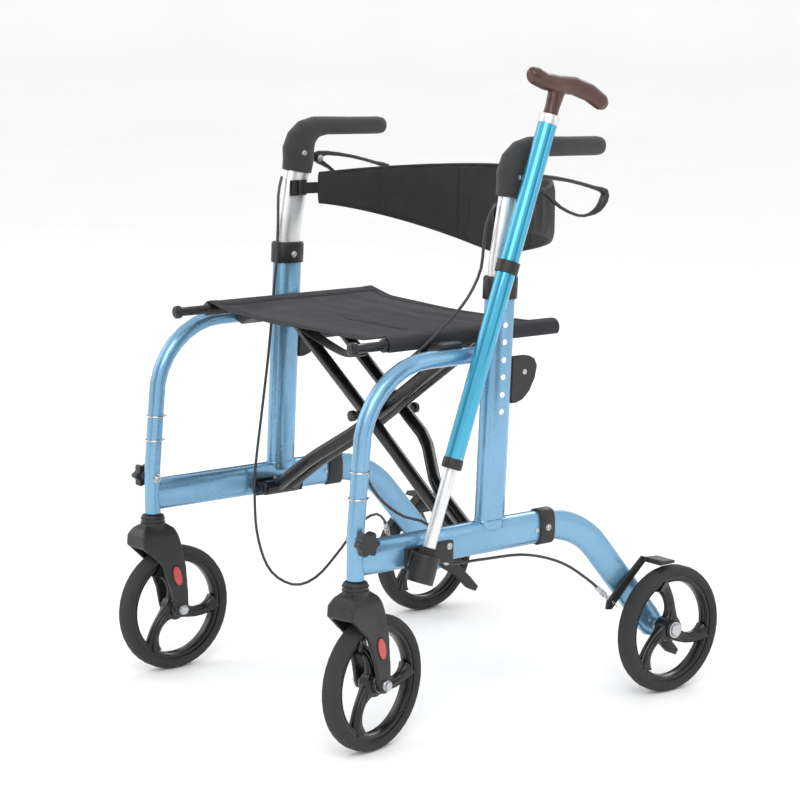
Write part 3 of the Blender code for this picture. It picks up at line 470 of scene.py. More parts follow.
def slab(bm, outline, thickness, direction):
    """A flat plate: an outline of points pushed through a thickness."""
    push = Vector(direction).normalized() * thickness
    skin(bm, [[Vector(p) for p in outline], [Vector(p) + push for p in outline]])


def rivet(bm, origin, axis, radius, height):
    """Domed rivet head with a thin skirt."""
    profile = [(0.0, radius), (height * 0.25, radius)]
    for i in range(1, 6):
        angle = math.pi / 2 * i / 6
        profile.append((height * (0.25 + 0.75 * math.sin(angle)), radius * math.cos(angle)))
    turned(bm, profile, origin, axis, 18)


def socket_screw(bm, origin, axis, radius, height):
    """Cap screw on a washer, with a recess in its head."""
    turned(bm, [(-0.0008, radius * 1.35), (0.0, radius * 1.45), (0.0008, radius * 1.35),
                (0.0009, radius), (height * 0.8, radius), (height, radius * 0.85),
                (height, radius * 0.5), (height * 0.5, radius * 0.45)], origin, axis, 20)


def hex_nut(bm, origin, axis, radius, height):
    turned(bm, [(0.0, radius * 0.92), (height * 0.12, radius), (height * 0.88, radius),
                (height, radius * 0.92)], origin, axis, 6)


def smooth_line(points, per=6, loop=False):
    """Catmull-Rom curve through points."""
    points = [Vector(p) for p in points]
    total = len(points)
    line = []
    for i in range(total if loop else total - 1):
        if loop:
            p0, p1, p2, p3 = (points[(i + k) % total] for k in (-1, 0, 1, 2))
        else:
            p1, p2 = points[i], points[i + 1]
            p0 = points[i - 1] if i else p1 * 2 - p2
            p3 = points[i + 2] if i + 2 < total else p2 * 2 - p1
        for k in range(per):
            t = k / per
            line.append(0.5 * (2 * p1 + (p2 - p0) * t + (2 * p0 - 5 * p1 + 4 * p2 - p3) * t * t
                               + (3 * p1 - p0 - 3 * p2 + p3) * t ** 3))
    if not loop:
        line.append(points[-1])
    return line


def add_piece(name, bm, look, body, sharp=38, bevel=0.0):
    """Makes a shaded object of a bmesh and lets it ride on a body."""
    bmesh.ops.recalc_face_normals(bm, faces=bm.faces)
    mesh = bpy.data.meshes.new(name)
    bm.to_mesh(mesh)
    bm.free()
    for polygon in mesh.polygons:
        polygon.use_smooth = True
    mesh.set_sharp_from_angle(angle=math.radians(sharp))
    mesh.materials.append(look)
    piece = bpy.data.objects.new(name, mesh)
    bpy.context.scene.collection.objects.link(piece)
    if bevel:
        edge = piece.modifiers.new("soft_edges", "BEVEL")
        edge.width = bevel
        edge.segments = 2
        edge.limit_method = "ANGLE"
        edge.angle_limit = math.radians(35)
        edge.harden_normals = True
    if body:
        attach(piece, body)
    return piece


# ---------------------------------------------------------------- seat sheet
SEAT_Y0 = -0.2345 + Y_SHIFT
SEAT_Y1 = 0.0885 + Y_SHIFT
SEAT_R = 0.0117             # middle of the cloth round the seat rail
SEAT_HALF_T = 0.0009
SEAT_SAG = 0.0050
WRAP_LOW = -50              # degrees; where the cloth ends on the rail's outer side
WRAP_STEPS = 9
SPAN_STEPS = 78
SEAT_ROWS = 66
SLIT_Y = -0.112
SLIT_X = (-0.030, 0.126)


def seat_section():
    """(x, z) from the left rail's outer side, over the seat, to the right rail's."""
    half = []
    for i in range(WRAP_STEPS):
        angle = math.radians(WRAP_LOW + (90 - WRAP_LOW) * i / WRAP_STEPS)
        half.append((SEAT_X + SEAT_R * math.cos(angle), SEAT_Z + SEAT_R * math.sin(angle)))
    span = []
    for i in range(SPAN_STEPS + 1):
        x = SEAT_X * (1 - 2 * i / SPAN_STEPS)
        span.append((x, SEAT_Z + SEAT_R - SEAT_SAG * (1 - (x / SEAT_X) ** 2)))
    return half + span + [(-x, z) for x, z in reversed(half)]


def lengths_along(section):
    total = [0.0]
    for a, b in zip(section, section[1:]):
        total.append(total[-1] + math.hypot(b[0] - a[0], b[1] - a[1]))
    return total


def settle_cloth(name, points, faces, held, frames, **settings):
    """Lets a mesh settle with Cloth and returns its points; held is a list of pinned ones."""
    mesh = bpy.data.meshes.new(name)
    mesh.from_pydata(points, [], faces)
    cloth_object = bpy.data.objects.new(name, mesh)
    bpy.context.scene.collection.objects.link(cloth_object)
    group = cloth_object.vertex_groups.new(name="held")
    group.add(held, 1.0, "REPLACE")
    modifier = cloth_object.modifiers.new("cloth", "CLOTH")
    cloth = modifier.settings
    cloth.vertex_group_mass = "held"
    cloth.quality = 6
    modifier.collision_settings.use_collision = False
    for key, value in settings.items():
        if key == "gravity":
            cloth.effector_weights.gravity = value
        else:
            setattr(cloth, key, value)
    modifier.point_cache.frame_start = 1
    modifier.point_cache.frame_end = frames
    for number in range(1, frames + 1):
        bpy.context.scene.frame_set(number)
    graph = bpy.context.evaluated_depsgraph_get()
    settled = [v.co.copy() for v in cloth_object.evaluated_get(graph).data.vertices]
    bpy.context.scene.frame_set(1)
    bpy.data.objects.remove(cloth_object)
    return settled


def capped_moves(before, after, limit):
    """The settled points, none of them further than limit from its start."""
    result = []
    for old, new in zip(before, after):
        move = new - Vector(old)
        if move.length > limit:
            move = move * (limit / move.length)
        result.append(Vector(old) + move)
    return result


def seat_points():
    section = seat_section()
    columns = len(section)
    points = []
    for x, z in section:
        for j in range(SEAT_ROWS + 1):
            y = SEAT_Y0 + (SEAT_Y1 - SEAT_Y0) * j / SEAT_ROWS
            points.append(Vector((x, y, z)))
    rows = SEAT_ROWS + 1
    faces = []
    for i in range(columns - 1):
        for j in range(SEAT_ROWS):
            a = i * rows + j
            faces.append((a, a + 1, a + rows + 1, a + rows))
    held = [k for k in range(len(points)) if abs(points[k].x) > SEAT_X - 0.004]
    after = settle_cloth("seat_settling", points, faces, held, 22, mass=0.3,
                         tension_stiffness=60, compression_stiffness=20,
                         bending_stiffness=1.5, shrink_min=-0.0006)
    points = capped_moves(points, after, 0.008)
    for point in points:
        point.z += seat_folds(point.x, point.y)
    return [points[i * rows:(i + 1) * rows] for i in range(columns)]


def seat_folds(x, y):
    """Height of the tension folds, the doubled hems and the lip of the hand slit."""
    inside = max(0.0, 1 - (x / (SEAT_X - 0.006)) ** 2)
    fold = noise.noise(Vector((x * 5.0, y * 34.0, 1.7))) * 0.0030
    fold += noise.noise(Vector((x * 9.0 + y * 22.0, y * 12.0, 6.1))) * 0.0016
    height = fold * inside ** 0.5
    edge = min(y - SEAT_Y0, SEAT_Y1 - y)
    if abs(x) < SEAT_X:
        height += 0.0007 * max(0.0, min(1.0, (0.016 - edge) / 0.003))
    low, high = SLIT_X
    if low < x < high:
        along = math.sin(math.pi * (x - low) / (high - low)) ** 0.6
        away = y - SLIT_Y
        if 0 <= away < 0.030:
            height += 0.0032 * along * (1 - away / 0.030) ** 2
        elif -0.008 < away < 0:
            height -= 0.0016 * along * (1 + away / 0.008)
    return height


def grid_normals(grid):
    normals = []
    for i, column in enumerate(grid):
        before, after = grid[max(i - 1, 0)], grid[min(i + 1, len(grid) - 1)]
        line = []
        for j in range(len(column)):
            low, high = column[max(j - 1, 0)], column[min(j + 1, len(column) - 1)]
            line.append((high - low).cross(after[j] - before[j]).normalized())
        normals.append(line)
    return normals


def thick_sheet(name, grid, half, look, across_lengths):
    """A closed sheet of cloth about a grid of points, with its flat cut as UV, in metres."""
    normals = grid_normals(grid)
    bm = bmesh.new()
    layer = bm.loops.layers.uv.new("cut")
    columns, rows = len(grid), len(grid[0])
    skins = []
    for sign in (1, -1):
        skins.append([[bm.verts.new(grid[i][j] + normals[i][j] * half * sign)
                       for j in range(rows)] for i in range(columns)])
    flat = {}
    for face_skin in skins:
        for i in range(columns):
            for j in range(rows):
                flat[face_skin[i][j]] = (across_lengths[i], grid[i][j].y)
    for number, face_skin in enumerate(skins):
        for i in range(columns - 1):
            for j in range(rows - 1):
                quad = [face_skin[i][j], face_skin[i][j + 1],
                        face_skin[i + 1][j + 1], face_skin[i + 1][j]]
                bm.faces.new(quad if number == 0 else list(reversed(quad)))
    rim = [(i, 0) for i in range(columns)] + [(columns - 1, j) for j in range(1, rows)]
    rim += [(i, rows - 1) for i in range(columns - 2, -1, -1)]
    rim += [(0, j) for j in range(rows - 2, 0, -1)]
    for k, (i, j) in enumerate(rim):
        m, n = rim[(k + 1) % len(rim)]
        bm.faces.new((skins[0][i][j], skins[1][i][j], skins[1][m][n], skins[0][m][n]))
    for face in bm.faces:
        for loop in face.loops:
            loop[layer].uv = flat[loop.vert]
    return add_piece(name, bm, look, None, 70)


def stitch_row(bm, points, normals, pitch=0.0036, length=0.0026, radius=0.00045):
    """A row of thread stitches along points, each lying on the cloth."""
    travelled, due = 0.0, 0.0
    for a, b, normal in zip(points, points[1:], normals):
        span = (b - a).length
        while due < travelled + span:
            share = (due - travelled) / span
            start = a.lerp(b, share) + normal * radius * 0.4
            end = start + (b - a).normalized() * length
            rise = normal * radius
            swept(bm, [start - rise, start + rise * 0.4, (start + end) / 2 + rise,
                       end + rise * 0.4, end - rise], radius, count=5,
                  up=normal)
            due += pitch
        travelled += span


section = seat_section()
cut_lengths = lengths_along(section)
seat_grid = seat_points()
seat = thick_sheet("seat_sheet", seat_grid, SEAT_HALF_T, SEAT_CLOTH, cut_lengths)
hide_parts("left_seat_panel", "right_seat_panel")

normals = grid_normals(seat_grid)
bm = bmesh.new()
rows = SEAT_ROWS + 1
for inset in (0.0055, 0.0125):
    j = round(inset / (SEAT_Y1 - SEAT_Y0) * SEAT_ROWS)
    for row, sign in ((j, 1), (SEAT_ROWS - j, -1)):
        line = [seat_grid[i][row] + normals[i][row] * SEAT_HALF_T
                for i in range(WRAP_STEPS, WRAP_STEPS + SPAN_STEPS + 1)]
        stitch_row(bm, line, [normals[i][row] for i in range(WRAP_STEPS, len(seat_grid))])
for i in (WRAP_STEPS + 3, WRAP_STEPS + 4, WRAP_STEPS + SPAN_STEPS - 3,
          WRAP_STEPS + SPAN_STEPS - 4):
    line = [seat_grid[i][j] + normals[i][j] * SEAT_HALF_T for j in range(2, rows - 2)]
    stitch_row(bm, line, normals[i][2:])
stitching = add_piece("seat_stitching", bm, THREAD, None)


def seat_height(x, y):
    """Top of the settled cloth above (x, y)."""
    i = WRAP_STEPS + (SEAT_X - x) / (2 * SEAT_X) * SPAN_STEPS
    j = (y - SEAT_Y0) / (SEAT_Y1 - SEAT_Y0) * SEAT_ROWS
    return seat_grid[round(i)][round(j)].z + SEAT_HALF_T


bm = bmesh.new()
binding = [(SLIT_X[0] + (SLIT_X[1] - SLIT_X[0]) * k / 22, SLIT_Y - 0.001) for k in range(23)]
swept(bm, [(x, y, seat_height(x, y) + 0.0004) for x, y in binding], 0.0016, 0.0010, 8,
      taper=lambda s: 0.35 + 0.65 * math.sin(math.pi * s) ** 0.5)
slit = add_piece("seat_slit_binding", bm, WEBBING, None)


def webbing_strap(name, route, width, thickness, wide, body=None):
    """Flat webbing along a route, with slightly rounded selvedges and UVs in metres."""
    bm = bmesh.new()
    layer = bm.loops.layers.uv.new("cut")
    wide = Vector(wide).normalized()
    rings, at = [], 0.0
    marks = []
    for i, point in enumerate(route):
        before, after = route[max(i - 1, 0)], route[min(i + 1, len(route) - 1)]
        tangent = (after - before).normalized()
        normal = tangent.cross(wide).normalized()
        side = normal.cross(tangent).normalized()
        rings.append(ellipse(point, side, normal, width / 2, thickness / 2, 16, 6.0))
        at += (point - before).length
        marks.append(at)
    made = skin(bm, rings)
    place = {}
    for ring, mark, centre in zip(made, marks, route):
        for vert in ring:
            place[vert] = ((vert.co - centre).dot(wide), mark)
    for face in bm.faces:
        for loop in face.loops:
            loop[layer].uv = place[loop.vert]
    return add_piece(name, bm, WEBBING, body, 50)


under = smooth_line([(-0.210, -0.108, 0.5700), (-0.144, -0.131, 0.5665), (-0.060, -0.163, 0.5630),
                     (0.040, -0.202, 0.5600), (0.120, -0.233, 0.5590), (0.180, -0.254, 0.5610),
                     (0.2090, -0.2630, 0.5690)], 6)
strap = webbing_strap("under_seat_strap", under, 0.022, 0.0018, (0.35, 0.94, 0.0))
for soft in (seat, stitching, slit, strap):
    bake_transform(soft)


# ---------------------------------------------------------------- back pad
BACK_X = 0.2345
BACK_Y = -0.0225 + Y_SHIFT
BACK_DEPTH = 0.190
BACK_POWER = 2.4
BACK_HALF_T = 0.0062
BACK_STEPS = 108
BACK_RING = 22
SEAM_SHARES = (0.175, 0.205, 0.400, 0.430, 0.570, 0.600, 0.795, 0.825)


def back_place(share):
    """Centre, outward normal, half height and middle height of the strap at a share."""
    angle = math.pi * share
    c, s = math.cos(angle), math.sin(angle)
    x = BACK_X * math.copysign(abs(c) ** (2 / BACK_POWER), c)
    y = BACK_Y + BACK_DEPTH * s ** (2 / BACK_POWER)
    gx = math.copysign(abs(c) ** (2 - 2 / BACK_POWER), c) / BACK_X
    gy = s ** (2 - 2 / BACK_POWER) / BACK_DEPTH
    toward_middle = (1 - abs(2 * share - 1)) ** 1.15
    high = 0.781 + 0.022 * toward_middle
    low = 0.735 - 0.071 * toward_middle
    return Vector((x, y, (high + low) / 2)), Vector((gx, gy, 0)).normalized(), (high - low) / 2


def seam_depth(share):
    """1 on a seam and 0 away from it."""
    near = min(abs(share - seam) for seam in SEAM_SHARES)
    return max(0.0, 1 - near / 0.012) ** 1.3


def back_ring(share, puff):
    centre, normal, half_height = back_place(share)
    ring = []
    for k in range(BACK_RING):
        angle = math.tau * k / BACK_RING
        c, s = math.cos(angle), math.sin(angle)
        height = half_height * math.copysign(abs(s) ** 0.5, s)
        body = abs(c) ** 0.5 * (1 - 0.45 * seam_depth(share))
        thick = (BACK_HALF_T - puff) * math.copysign(body, c)
        ring.append(centre + Z_AXIS * height + normal * thick)
    return ring


def build_back_pad():
    shares = [0.012 + 0.976 * i / BACK_STEPS for i in range(BACK_STEPS + 1)]
    rings = [back_ring(share, 0.0010) for share in shares]
    points = [p for ring in rings for p in ring]
    faces = []
    for i in range(BACK_STEPS):
        for k in range(BACK_RING):
            n = (k + 1) % BACK_RING
            a, b = i * BACK_RING, (i + 1) * BACK_RING
            faces.append((a + k, a + n, b + n, b + k))
    held = []
    for i, share in enumerate(shares):
        if seam_depth(share) > 0.5 or i in (0, BACK_STEPS):
            held += range(i * BACK_RING, (i + 1) * BACK_RING)
    after = settle_cloth("back_settling", points, faces, held, 16, mass=0.2, gravity=0.0,
                         tension_stiffness=30, compression_stiffness=10,
                         bending_stiffness=0.6, use_pressure=True,
                         uniform_pressure_force=2.0, shrink_min=-0.01)
    points = capped_moves(points, after, 0.0035)
    rings = [points[i * BACK_RING:(i + 1) * BACK_RING] for i in range(BACK_STEPS + 1)]
    bm = bmesh.new()
    layer = bm.loops.layers.uv.new("cut")
    made = skin(bm, rings)
    length = math.pi * (BACK_X + BACK_DEPTH) / 2
    place = {}
    for share, ring in zip(shares, made):
        for vert in ring:
            wrinkle = noise.noise(Vector((share * 40, vert.co.z * 18, 3.0))) * 0.0007
            _, normal, _ = back_place(share)
            facing = 1 if (vert.co - back_place(share)[0]).dot(normal) > 0 else -1
            vert.co += normal * wrinkle * facing
            place[vert] = (share * length, vert.co.z)
    for face in bm.faces:
        for loop in face.loops:
            loop[layer].uv = place[loop.vert]
    return add_piece("back_pad", bm, BACK_CLOTH, "post_left", 75)


def back_edge(edge_sign, name):
    """Binding sewn over the pad's upper or lower edge."""
    bm = bmesh.new()
    line = []
    for i in range(BACK_STEPS + 1):
        centre, _, half_height = back_place(0.012 + 0.976 * i / BACK_STEPS)
        line.append(centre + Z_AXIS * edge_sign * (half_height - 0.0004))
    swept(bm, line, 0.0034, 0.0024, 8)
    return add_piece(name, bm, THREAD if False else BACK_CLOTH, "post_left", 60)


def back_stitches():
    bm = bmesh.new()
    for seam in SEAM_SHARES:
        centre, normal, half_height = back_place(seam)
        for face in (-1, 1):
            line = []
            for k in range(15):
                height = half_height * 0.86 * (2 * k / 14 - 1)
                inset = 0.56 * abs(1 - (height / half_height) ** 4) ** 0.25
                line.append(centre + Z_AXIS * height + normal * face * BACK_HALF_T * inset)
            stitch_row(bm, line, [normal * face] * 15)
    return add_piece("back_stitching", bm, THREAD, "post_left")


back_pad = build_back_pad()
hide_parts("left_back_pad", "right_back_pad")
back_parts = [back_pad, back_edge(1, "back_binding_upper"), back_edge(-1, "back_binding_lower"),
              back_stitches()]
for part in back_parts:
    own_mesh(part)


# ---------------------------------------------------------------- frame hardware
HOLE_HEIGHTS = (0.601, 0.576, 0.550, 0.525, 0.499, 0.474)


def front_tube_y(z):
    return FRONT_Y + max(0.0, z - 0.330) * 0.082


def build_frame_hardware(name, side):
    body = "frame_" + name
    out = X_AXIS * side
    face_x = side * (SIDE_X + UP_HALF_X + 0.0001)

    bm = bmesh.new()
    for z in HOLE_HEIGHTS:
        at = Vector((face_x, upright_y(z), z))
        turned(bm, [(-0.0008, 0.0044), (0.0006, 0.0043), (0.0009, 0.0038), (0.0006, 0.0033),
                    (0.0001, 0.0030)], at, out, 20)
    rivet(bm, Vector((face_x, upright_y(HOLE_HEIGHTS[-1]), HOLE_HEIGHTS[-1])), out, 0.0024, 0.0036)
    add_piece(name + "_height_holes", bm, BARE, body)

    bm = bmesh.new()
    rivet(bm, (side * (SIDE_X + 0.0068), -0.0100 + Y_SHIFT, 0.527), out, 0.0042, 0.0022)
    rivet(bm, (side * (SIDE_X - 0.0068), -0.0100 + Y_SHIFT, 0.527), -out, 0.0042, 0.0022)
    rivet(bm, (side * (SIDE_X + RAIL_HALF_W - 0.0003), 0.0165 + Y_SHIFT, 0.286), out, 0.0038, 0.0020)
    rivet(bm, (side * (SIDE_X - RAIL_HALF_W + 0.0003), 0.0165 + Y_SHIFT, 0.286), -out, 0.0038, 0.0020)
    socket_screw(bm, (side * (SIDE_X - TUBE_R - 0.0006), FRONT_Y, 0.315), -out, 0.0052, 0.0045)
    socket_screw(bm, (side * (SIDE_X + 0.0148), 0.0365 + Y_SHIFT, RAIL_Z), out, 0.0036, 0.0028)
    socket_screw(bm, (side * (SIDE_X + 0.0180), upright_y(0.652), 0.652), out, 0.0038, 0.0030)
    socket_screw(bm, (side * (SIDE_X - 0.0180), upright_y(0.652), 0.652), -out, 0.0038, 0.0030)
    socket_screw(bm, (side * 0.2450, -0.0900 + Y_SHIFT, 0.2885), -out, 0.0030, 0.0020)
    add_piece(name + "_rivets_and_screws", bm, STEEL, body)

    bm = bmesh.new()
    for z, ringed in ((0.375, True), (0.413, True)):
        y = front_tube_y(z)
        centre = Vector((side * SIDE_X, y, z))
        if ringed:
            hoop = ellipse(centre, X_AXIS, Y_AXIS, TUBE_R + 0.0007, TUBE_R + 0.0007, 32)
            swept(bm, hoop, 0.0016, count=8, loop=True)
        rivet(bm, centre + Y_AXIS * (TUBE_R - 0.0006), Y_AXIS, 0.0036, 0.0034)
        swept(bm, [centre + Y_AXIS * TUBE_R, centre + Vector((0, TUBE_R + 0.0050, -0.0006)),
                   centre + Vector((0, TUBE_R + 0.0082, -0.0024))], 0.0010, count=8)
    add_piece(name + "_tube_clips", bm, STEEL, body)

    # weld beads where the arch and the lower rail meet the upright
    bm = bmesh.new()
    y = upright_y(0.560)
    collar = ellipse(Vector((side * SIDE_X, y - 0.0252, 0.560)), X_AXIS, Z_AXIS,
                     TUBE_R + 0.0004, TUBE_R + 0.0004, 28)
    swept(bm, collar, 0.0016, 0.0012, 8, loop=True, up=Y_AXIS)
    ring = [p + Y_AXIS * (0.040 * (p.z - RAIL_Z)) for p in
            ellipse(Vector((side * SIDE_X, upright_y(0.3125), 0.3125)), X_AXIS, Y_AXIS,
                    UP_HALF_X + 0.0002, 0.0252, 36, 2.3)]
    swept(bm, ring, 0.0014, 0.0012, 8, loop=True)
    add_piece(name + "_weld_beads", bm, PAINT_BLUE, body)


def build_post_hardware(name, side):
    body = "post_" + name
    inner_x = side * 0.2500
    inward = X_AXIS * -side

    # hook for the back strap: base plate, keeper and a folded lip
    bm = bmesh.new()
    low, high = 0.7455, 0.7705
    y0, y1 = -0.0585 + Y_SHIFT, -0.0262 + Y_SHIFT
    plate = [(inner_x, y0, low), (inner_x, y1, low), (inner_x, y1, high), (inner_x, y0, high)]
    slab(bm, plate, 0.0028, inward)
    lip = [(inner_x - side * 0.0028, y0 + 0.002, low + 0.003),
           (inner_x - side * 0.0028, y0 + 0.010, low + 0.003),
           (inner_x - side * 0.0028, y0 + 0.010, high - 0.003),
           (inner_x - side * 0.0028, y0 + 0.002, high - 0.003)]
    slab(bm, lip, 0.0045, inward)
    swept(bm, [(inner_x - side * 0.0050, y0 + 0.017, low + 0.001),
               (inner_x - side * 0.0050, y0 + 0.017, high - 0.001)], 0.0042, count=14)
    add_piece(name + "_strap_hook", bm, PLASTIC, body, bevel=0.0008)

    tab_path = smooth_line([(inner_x - side * 0.0058, -0.0440 + Y_SHIFT, 0.758),
                            (inner_x - side * 0.0085, -0.0370 + Y_SHIFT, 0.758),
                            (side * 0.2372, -0.0280 + Y_SHIFT, 0.758),
                            (side * 0.2348, -0.0140 + Y_SHIFT, 0.758)], 5)
    tab = webbing_strap(name + "_strap_tab", tab_path, 0.018, 0.0022, (0, 0, 1), body)

    # screws through the grip's socket and the lever's pivot pin
    bm = bmesh.new()
    for direction in (1, -1):
        out = X_AXIS * side * direction
        for y, z, reach, radius in ((-0.0330 + Y_SHIFT, 0.8130, 0.0174, 0.0034),
                                    (0.0060 + Y_SHIFT, 0.8030, 0.0078, 0.0040)):
            at = Vector((side * SIDE_X, y, z)) + out * reach
            socket_screw(bm, at, out, radius, 0.0020)
    add_piece(name + "_grip_screws", bm, STEEL, body)


def build_caster_hardware(name, side):
    body = "caster_" + name
    fork_low, fork_high = (Vector(c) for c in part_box(name + "_caster_fork"))
    swivel = math.radians(12.0 if side > 0 else 2.0)
    turn = Matrix.Translation((side * SIDE_X, FRONT_Y, 0)) @ Matrix.Rotation(swivel, 4, "Z")

    bm = bmesh.new()
    for direction in (1, -1):
        face = ellipse(Vector((direction * 0.0248, 0.0290, 0.1560)),
                       Vector((0, -0.28, 0.96)), Vector((0, 0.96, 0.28)), 0.0165, 0.0075, 28)
        slab(bm, face, 0.0020, X_AXIS * direction)
    bmesh.ops.transform(bm, matrix=turn, verts=bm.verts)
    add_piece(name + "_caster_reflectors", bm, RED, body, bevel=0.0006)

    bm = bmesh.new()
    for direction in (1, -1):
        rim = ellipse(Vector((direction * 0.0250, 0.0290, 0.1560)),
                      Vector((0, -0.28, 0.96)), Vector((0, 0.96, 0.28)), 0.0178, 0.0088, 36)
        swept(bm, rim, 0.0013, count=8, loop=True, up=X_AXIS)
    for height, radius in ((0.2440, 0.0188), (0.2500, 0.0188)):
        hoop = ellipse(Vector((0, 0, height)), X_AXIS, Y_AXIS, radius, radius, 36)
        swept(bm, hoop, 0.0009, count=8, loop=True)
    bmesh.ops.transform(bm, matrix=turn, verts=bm.verts)
    add_piece(name + "_caster_mouldings", bm, PLASTIC, body)

    bm = bmesh.new()
    for direction in (1, -1):
        hub = Vector((direction * 0.0288, 0.0388, WHEEL_R - 0.0003))
        hex_nut(bm, hub, X_AXIS * direction, 0.0072, 0.0034)
    bmesh.ops.transform(bm, matrix=turn, verts=bm.verts)
    add_piece(name + "_caster_nuts", bm, STEEL, body, 20)


RIM_OUTER = 0.0842
RIM_INNER = 0.0745
SPOKE_LEAN = math.radians(26)   # how far a spoke's outer end runs ahead of its root
SPOKE_TURN = {"left_rear": -26, "right_rear": -26, "left_front": -10, "right_front": -16}


def build_spoked_rim(name, body, node, centre, axis, other):
    """Moulded rim: channel ring, bored hub and three curved spokes with a raised rib."""
    bm = bmesh.new()
    ring = [(-0.0088, RIM_OUTER), (-0.0092, RIM_OUTER - 0.0030), (-0.0082, RIM_INNER + 0.0012),
            (-0.0060, RIM_INNER), (0.0060, RIM_INNER), (0.0082, RIM_INNER + 0.0012),
            (0.0092, RIM_OUTER - 0.0030), (0.0088, RIM_OUTER)]
    turned(bm, ring, centre, axis, 96, loop=True)
    hub = [(-0.0158, 0.0066), (-0.0158, 0.0140), (-0.0150, 0.0149), (-0.0090, 0.0158),
           (-0.0070, 0.0205), (0.0070, 0.0205), (0.0090, 0.0158), (0.0150, 0.0149),
           (0.0158, 0.0140), (0.0158, 0.0066)]
    turned(bm, hub, centre, axis, 40, loop=True)

    def spoke_point(share, turn, lift):
        radius = 0.012 + (RIM_INNER + 0.0035 - 0.012) * share
        angle = turn + SPOKE_LEAN * (share ** 1.4 - 0.5)
        return (centre + other * radius * math.cos(angle) + Z_AXIS * radius * math.sin(angle)
                + axis * lift)

    for k in range(3):
        turn = math.tau * k / 3 + math.radians(120 + SPOKE_TURN[name])
        path = [spoke_point(i / 18, turn, 0.0) for i in range(19)]
        swept(bm, path, 0.0098, 0.0074, 20, up=axis, power=2.8,
              taper=lambda s: 1.0 + 0.55 * abs(2 * s - 1) ** 3 - 0.12 * math.sin(math.pi * s))
        for face in (1, -1):
            rib = [spoke_point(i / 18, turn, face * 0.0066) for i in range(2, 17)]
            swept(bm, rib, 0.0036, 0.0022, 10, up=axis)
    rim = add_piece(name + "_spoked_rim", bm, RIM_PLASTIC, body, 42)
    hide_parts(node + "_rim")


def build_wheel_detail(name, body, node, swivel, hub_half):
    """Bearing rings and a rolled lip beside the tyre, on both faces of a wheel."""
    low, high = (Vector(c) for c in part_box(node + "_tyre"))
    centre = (low + high) / 2
    axis = Matrix.Rotation(swivel, 3, "Z") @ X_AXIS
    other = Matrix.Rotation(swivel, 3, "Z") @ Y_AXIS
    bm = bmesh.new()
    for direction in (1, -1):
        base = centre + axis * direction * (hub_half - 0.0006)
        turned(bm, [(0.0, 0.0128), (0.0012, 0.0126), (0.0014, 0.0110), (0.0008, 0.0100),
                    (0.0013, 0.0088), (0.0013, 0.0072)], base, axis * direction, 28)
    add_piece(name + "_hub_bearings", bm, STEEL, body)
    bm = bmesh.new()
    for direction in (1, -1):
        for radius, offset, thick in ((0.0835, 0.0098, 0.0013), (0.0775, 0.0086, 0.0010)):
            hoop = ellipse(centre + axis * direction * offset, other, Z_AXIS, radius, radius, 72)
            swept(bm, hoop, thick, count=8, loop=True, up=axis)
    add_piece(name + "_rim_lips", bm, RIM_PLASTIC, body)
    build_spoked_rim(name, body, node, centre, axis, other)


def build_brake_hardware(name, side):
    """Cable adjuster at the brake: barrel, locknuts, return spring and the wire's tail."""
    end = Vector((side * 0.2720, 0.1640 + Y_SHIFT, 0.1600))
    before = Vector((side * (0.2620 if side > 0 else 0.2600),
                     0.1400 + Y_SHIFT if side > 0 else 0.1500 + Y_SHIFT,
                     0.1850 if side > 0 else 0.1800))
    way = (end - before).normalized()
    bm = bmesh.new()
    start = end - way * 0.024
    turned(bm, [(0.0, 0.0034), (0.002, 0.0040), (0.010, 0.0040), (0.011, 0.0031),
                (0.022, 0.0031), (0.024, 0.0024)], start, way, 20)
    hex_nut(bm, start + way * 0.0125, way, 0.0056, 0.0030)
    hex_nut(bm, start + way * 0.0170, way, 0.0056, 0.0030)
    u, v = across(way)
    coil = []
    turns, run = 6, 0.0175
    for i in range(turns * 14 + 1):
        angle = math.tau * i / 14
        coil.append(end + way * run * i / (turns * 14)
                    + (u * math.cos(angle) + v * math.sin(angle)) * 0.0040)
    swept(bm, coil, 0.0006, count=6)
    swept(bm, [end - way * 0.002, end + way * 0.012, end + way * 0.026], 0.0008, count=8)
    add_piece(name + "_brake_adjuster", bm, STEEL, "frame_" + name)


for name, side in SIDES:
    build_frame_hardware(name, side)
    build_post_hardware(name, side)
    build_caster_hardware(name, side)
    build_brake_hardware(name, side)
    swivel = math.radians(12.0 if side > 0 else 2.0)
    build_wheel_detail(name + "_front", "front_wheel_" + name, name + "_front", swivel, 0.0160)
    build_wheel_detail(name + "_rear", "rear_wheel_" + name, name + "_rear", 0.0, 0.0160)


# ---------------------------------------------------------------- cane details
CANE_X = 0.2955
CANE_FOOT = Vector((CANE_X, -0.2080 + Y_SHIFT, 0.300))
CANE_AXIS = Vector((0, 0.3555, 1)).normalized()


def on_cane(z):
    return CANE_FOOT + CANE_AXIS * ((z - CANE_FOOT.z) / CANE_AXIS.z)


bm = bmesh.new()
turned(bm, [(0.0, 0.0138), (0.0004, 0.0145), (0.0030, 0.0147), (0.0120, 0.0147),
            (0.0136, 0.0142), (0.0146, 0.0118)], on_cane(0.8890), CANE_AXIS, 36)
add_piece("cane_ferrule", bm, SILVER, "cane")

bm = bmesh.new()
turned(bm, [(0.0, 0.0105), (0.0003, 0.0142), (0.0020, 0.0150), (0.0130, 0.0150),
            (0.0150, 0.0146), (0.0154, 0.0138)], on_cane(0.4060), CANE_AXIS, 36)
add_piece("cane_lock_ring", bm, PLASTIC, "cane")

bm = bmesh.new()
for y, z in ((-0.2310, 0.2720), (-0.1580, 0.2880)):
    socket_screw(bm, (0.2800, y + Y_SHIFT, z), X_AXIS, 0.0036, 0.0026)
add_piece("cane_cup_screws", bm, STEEL, "frame_left")

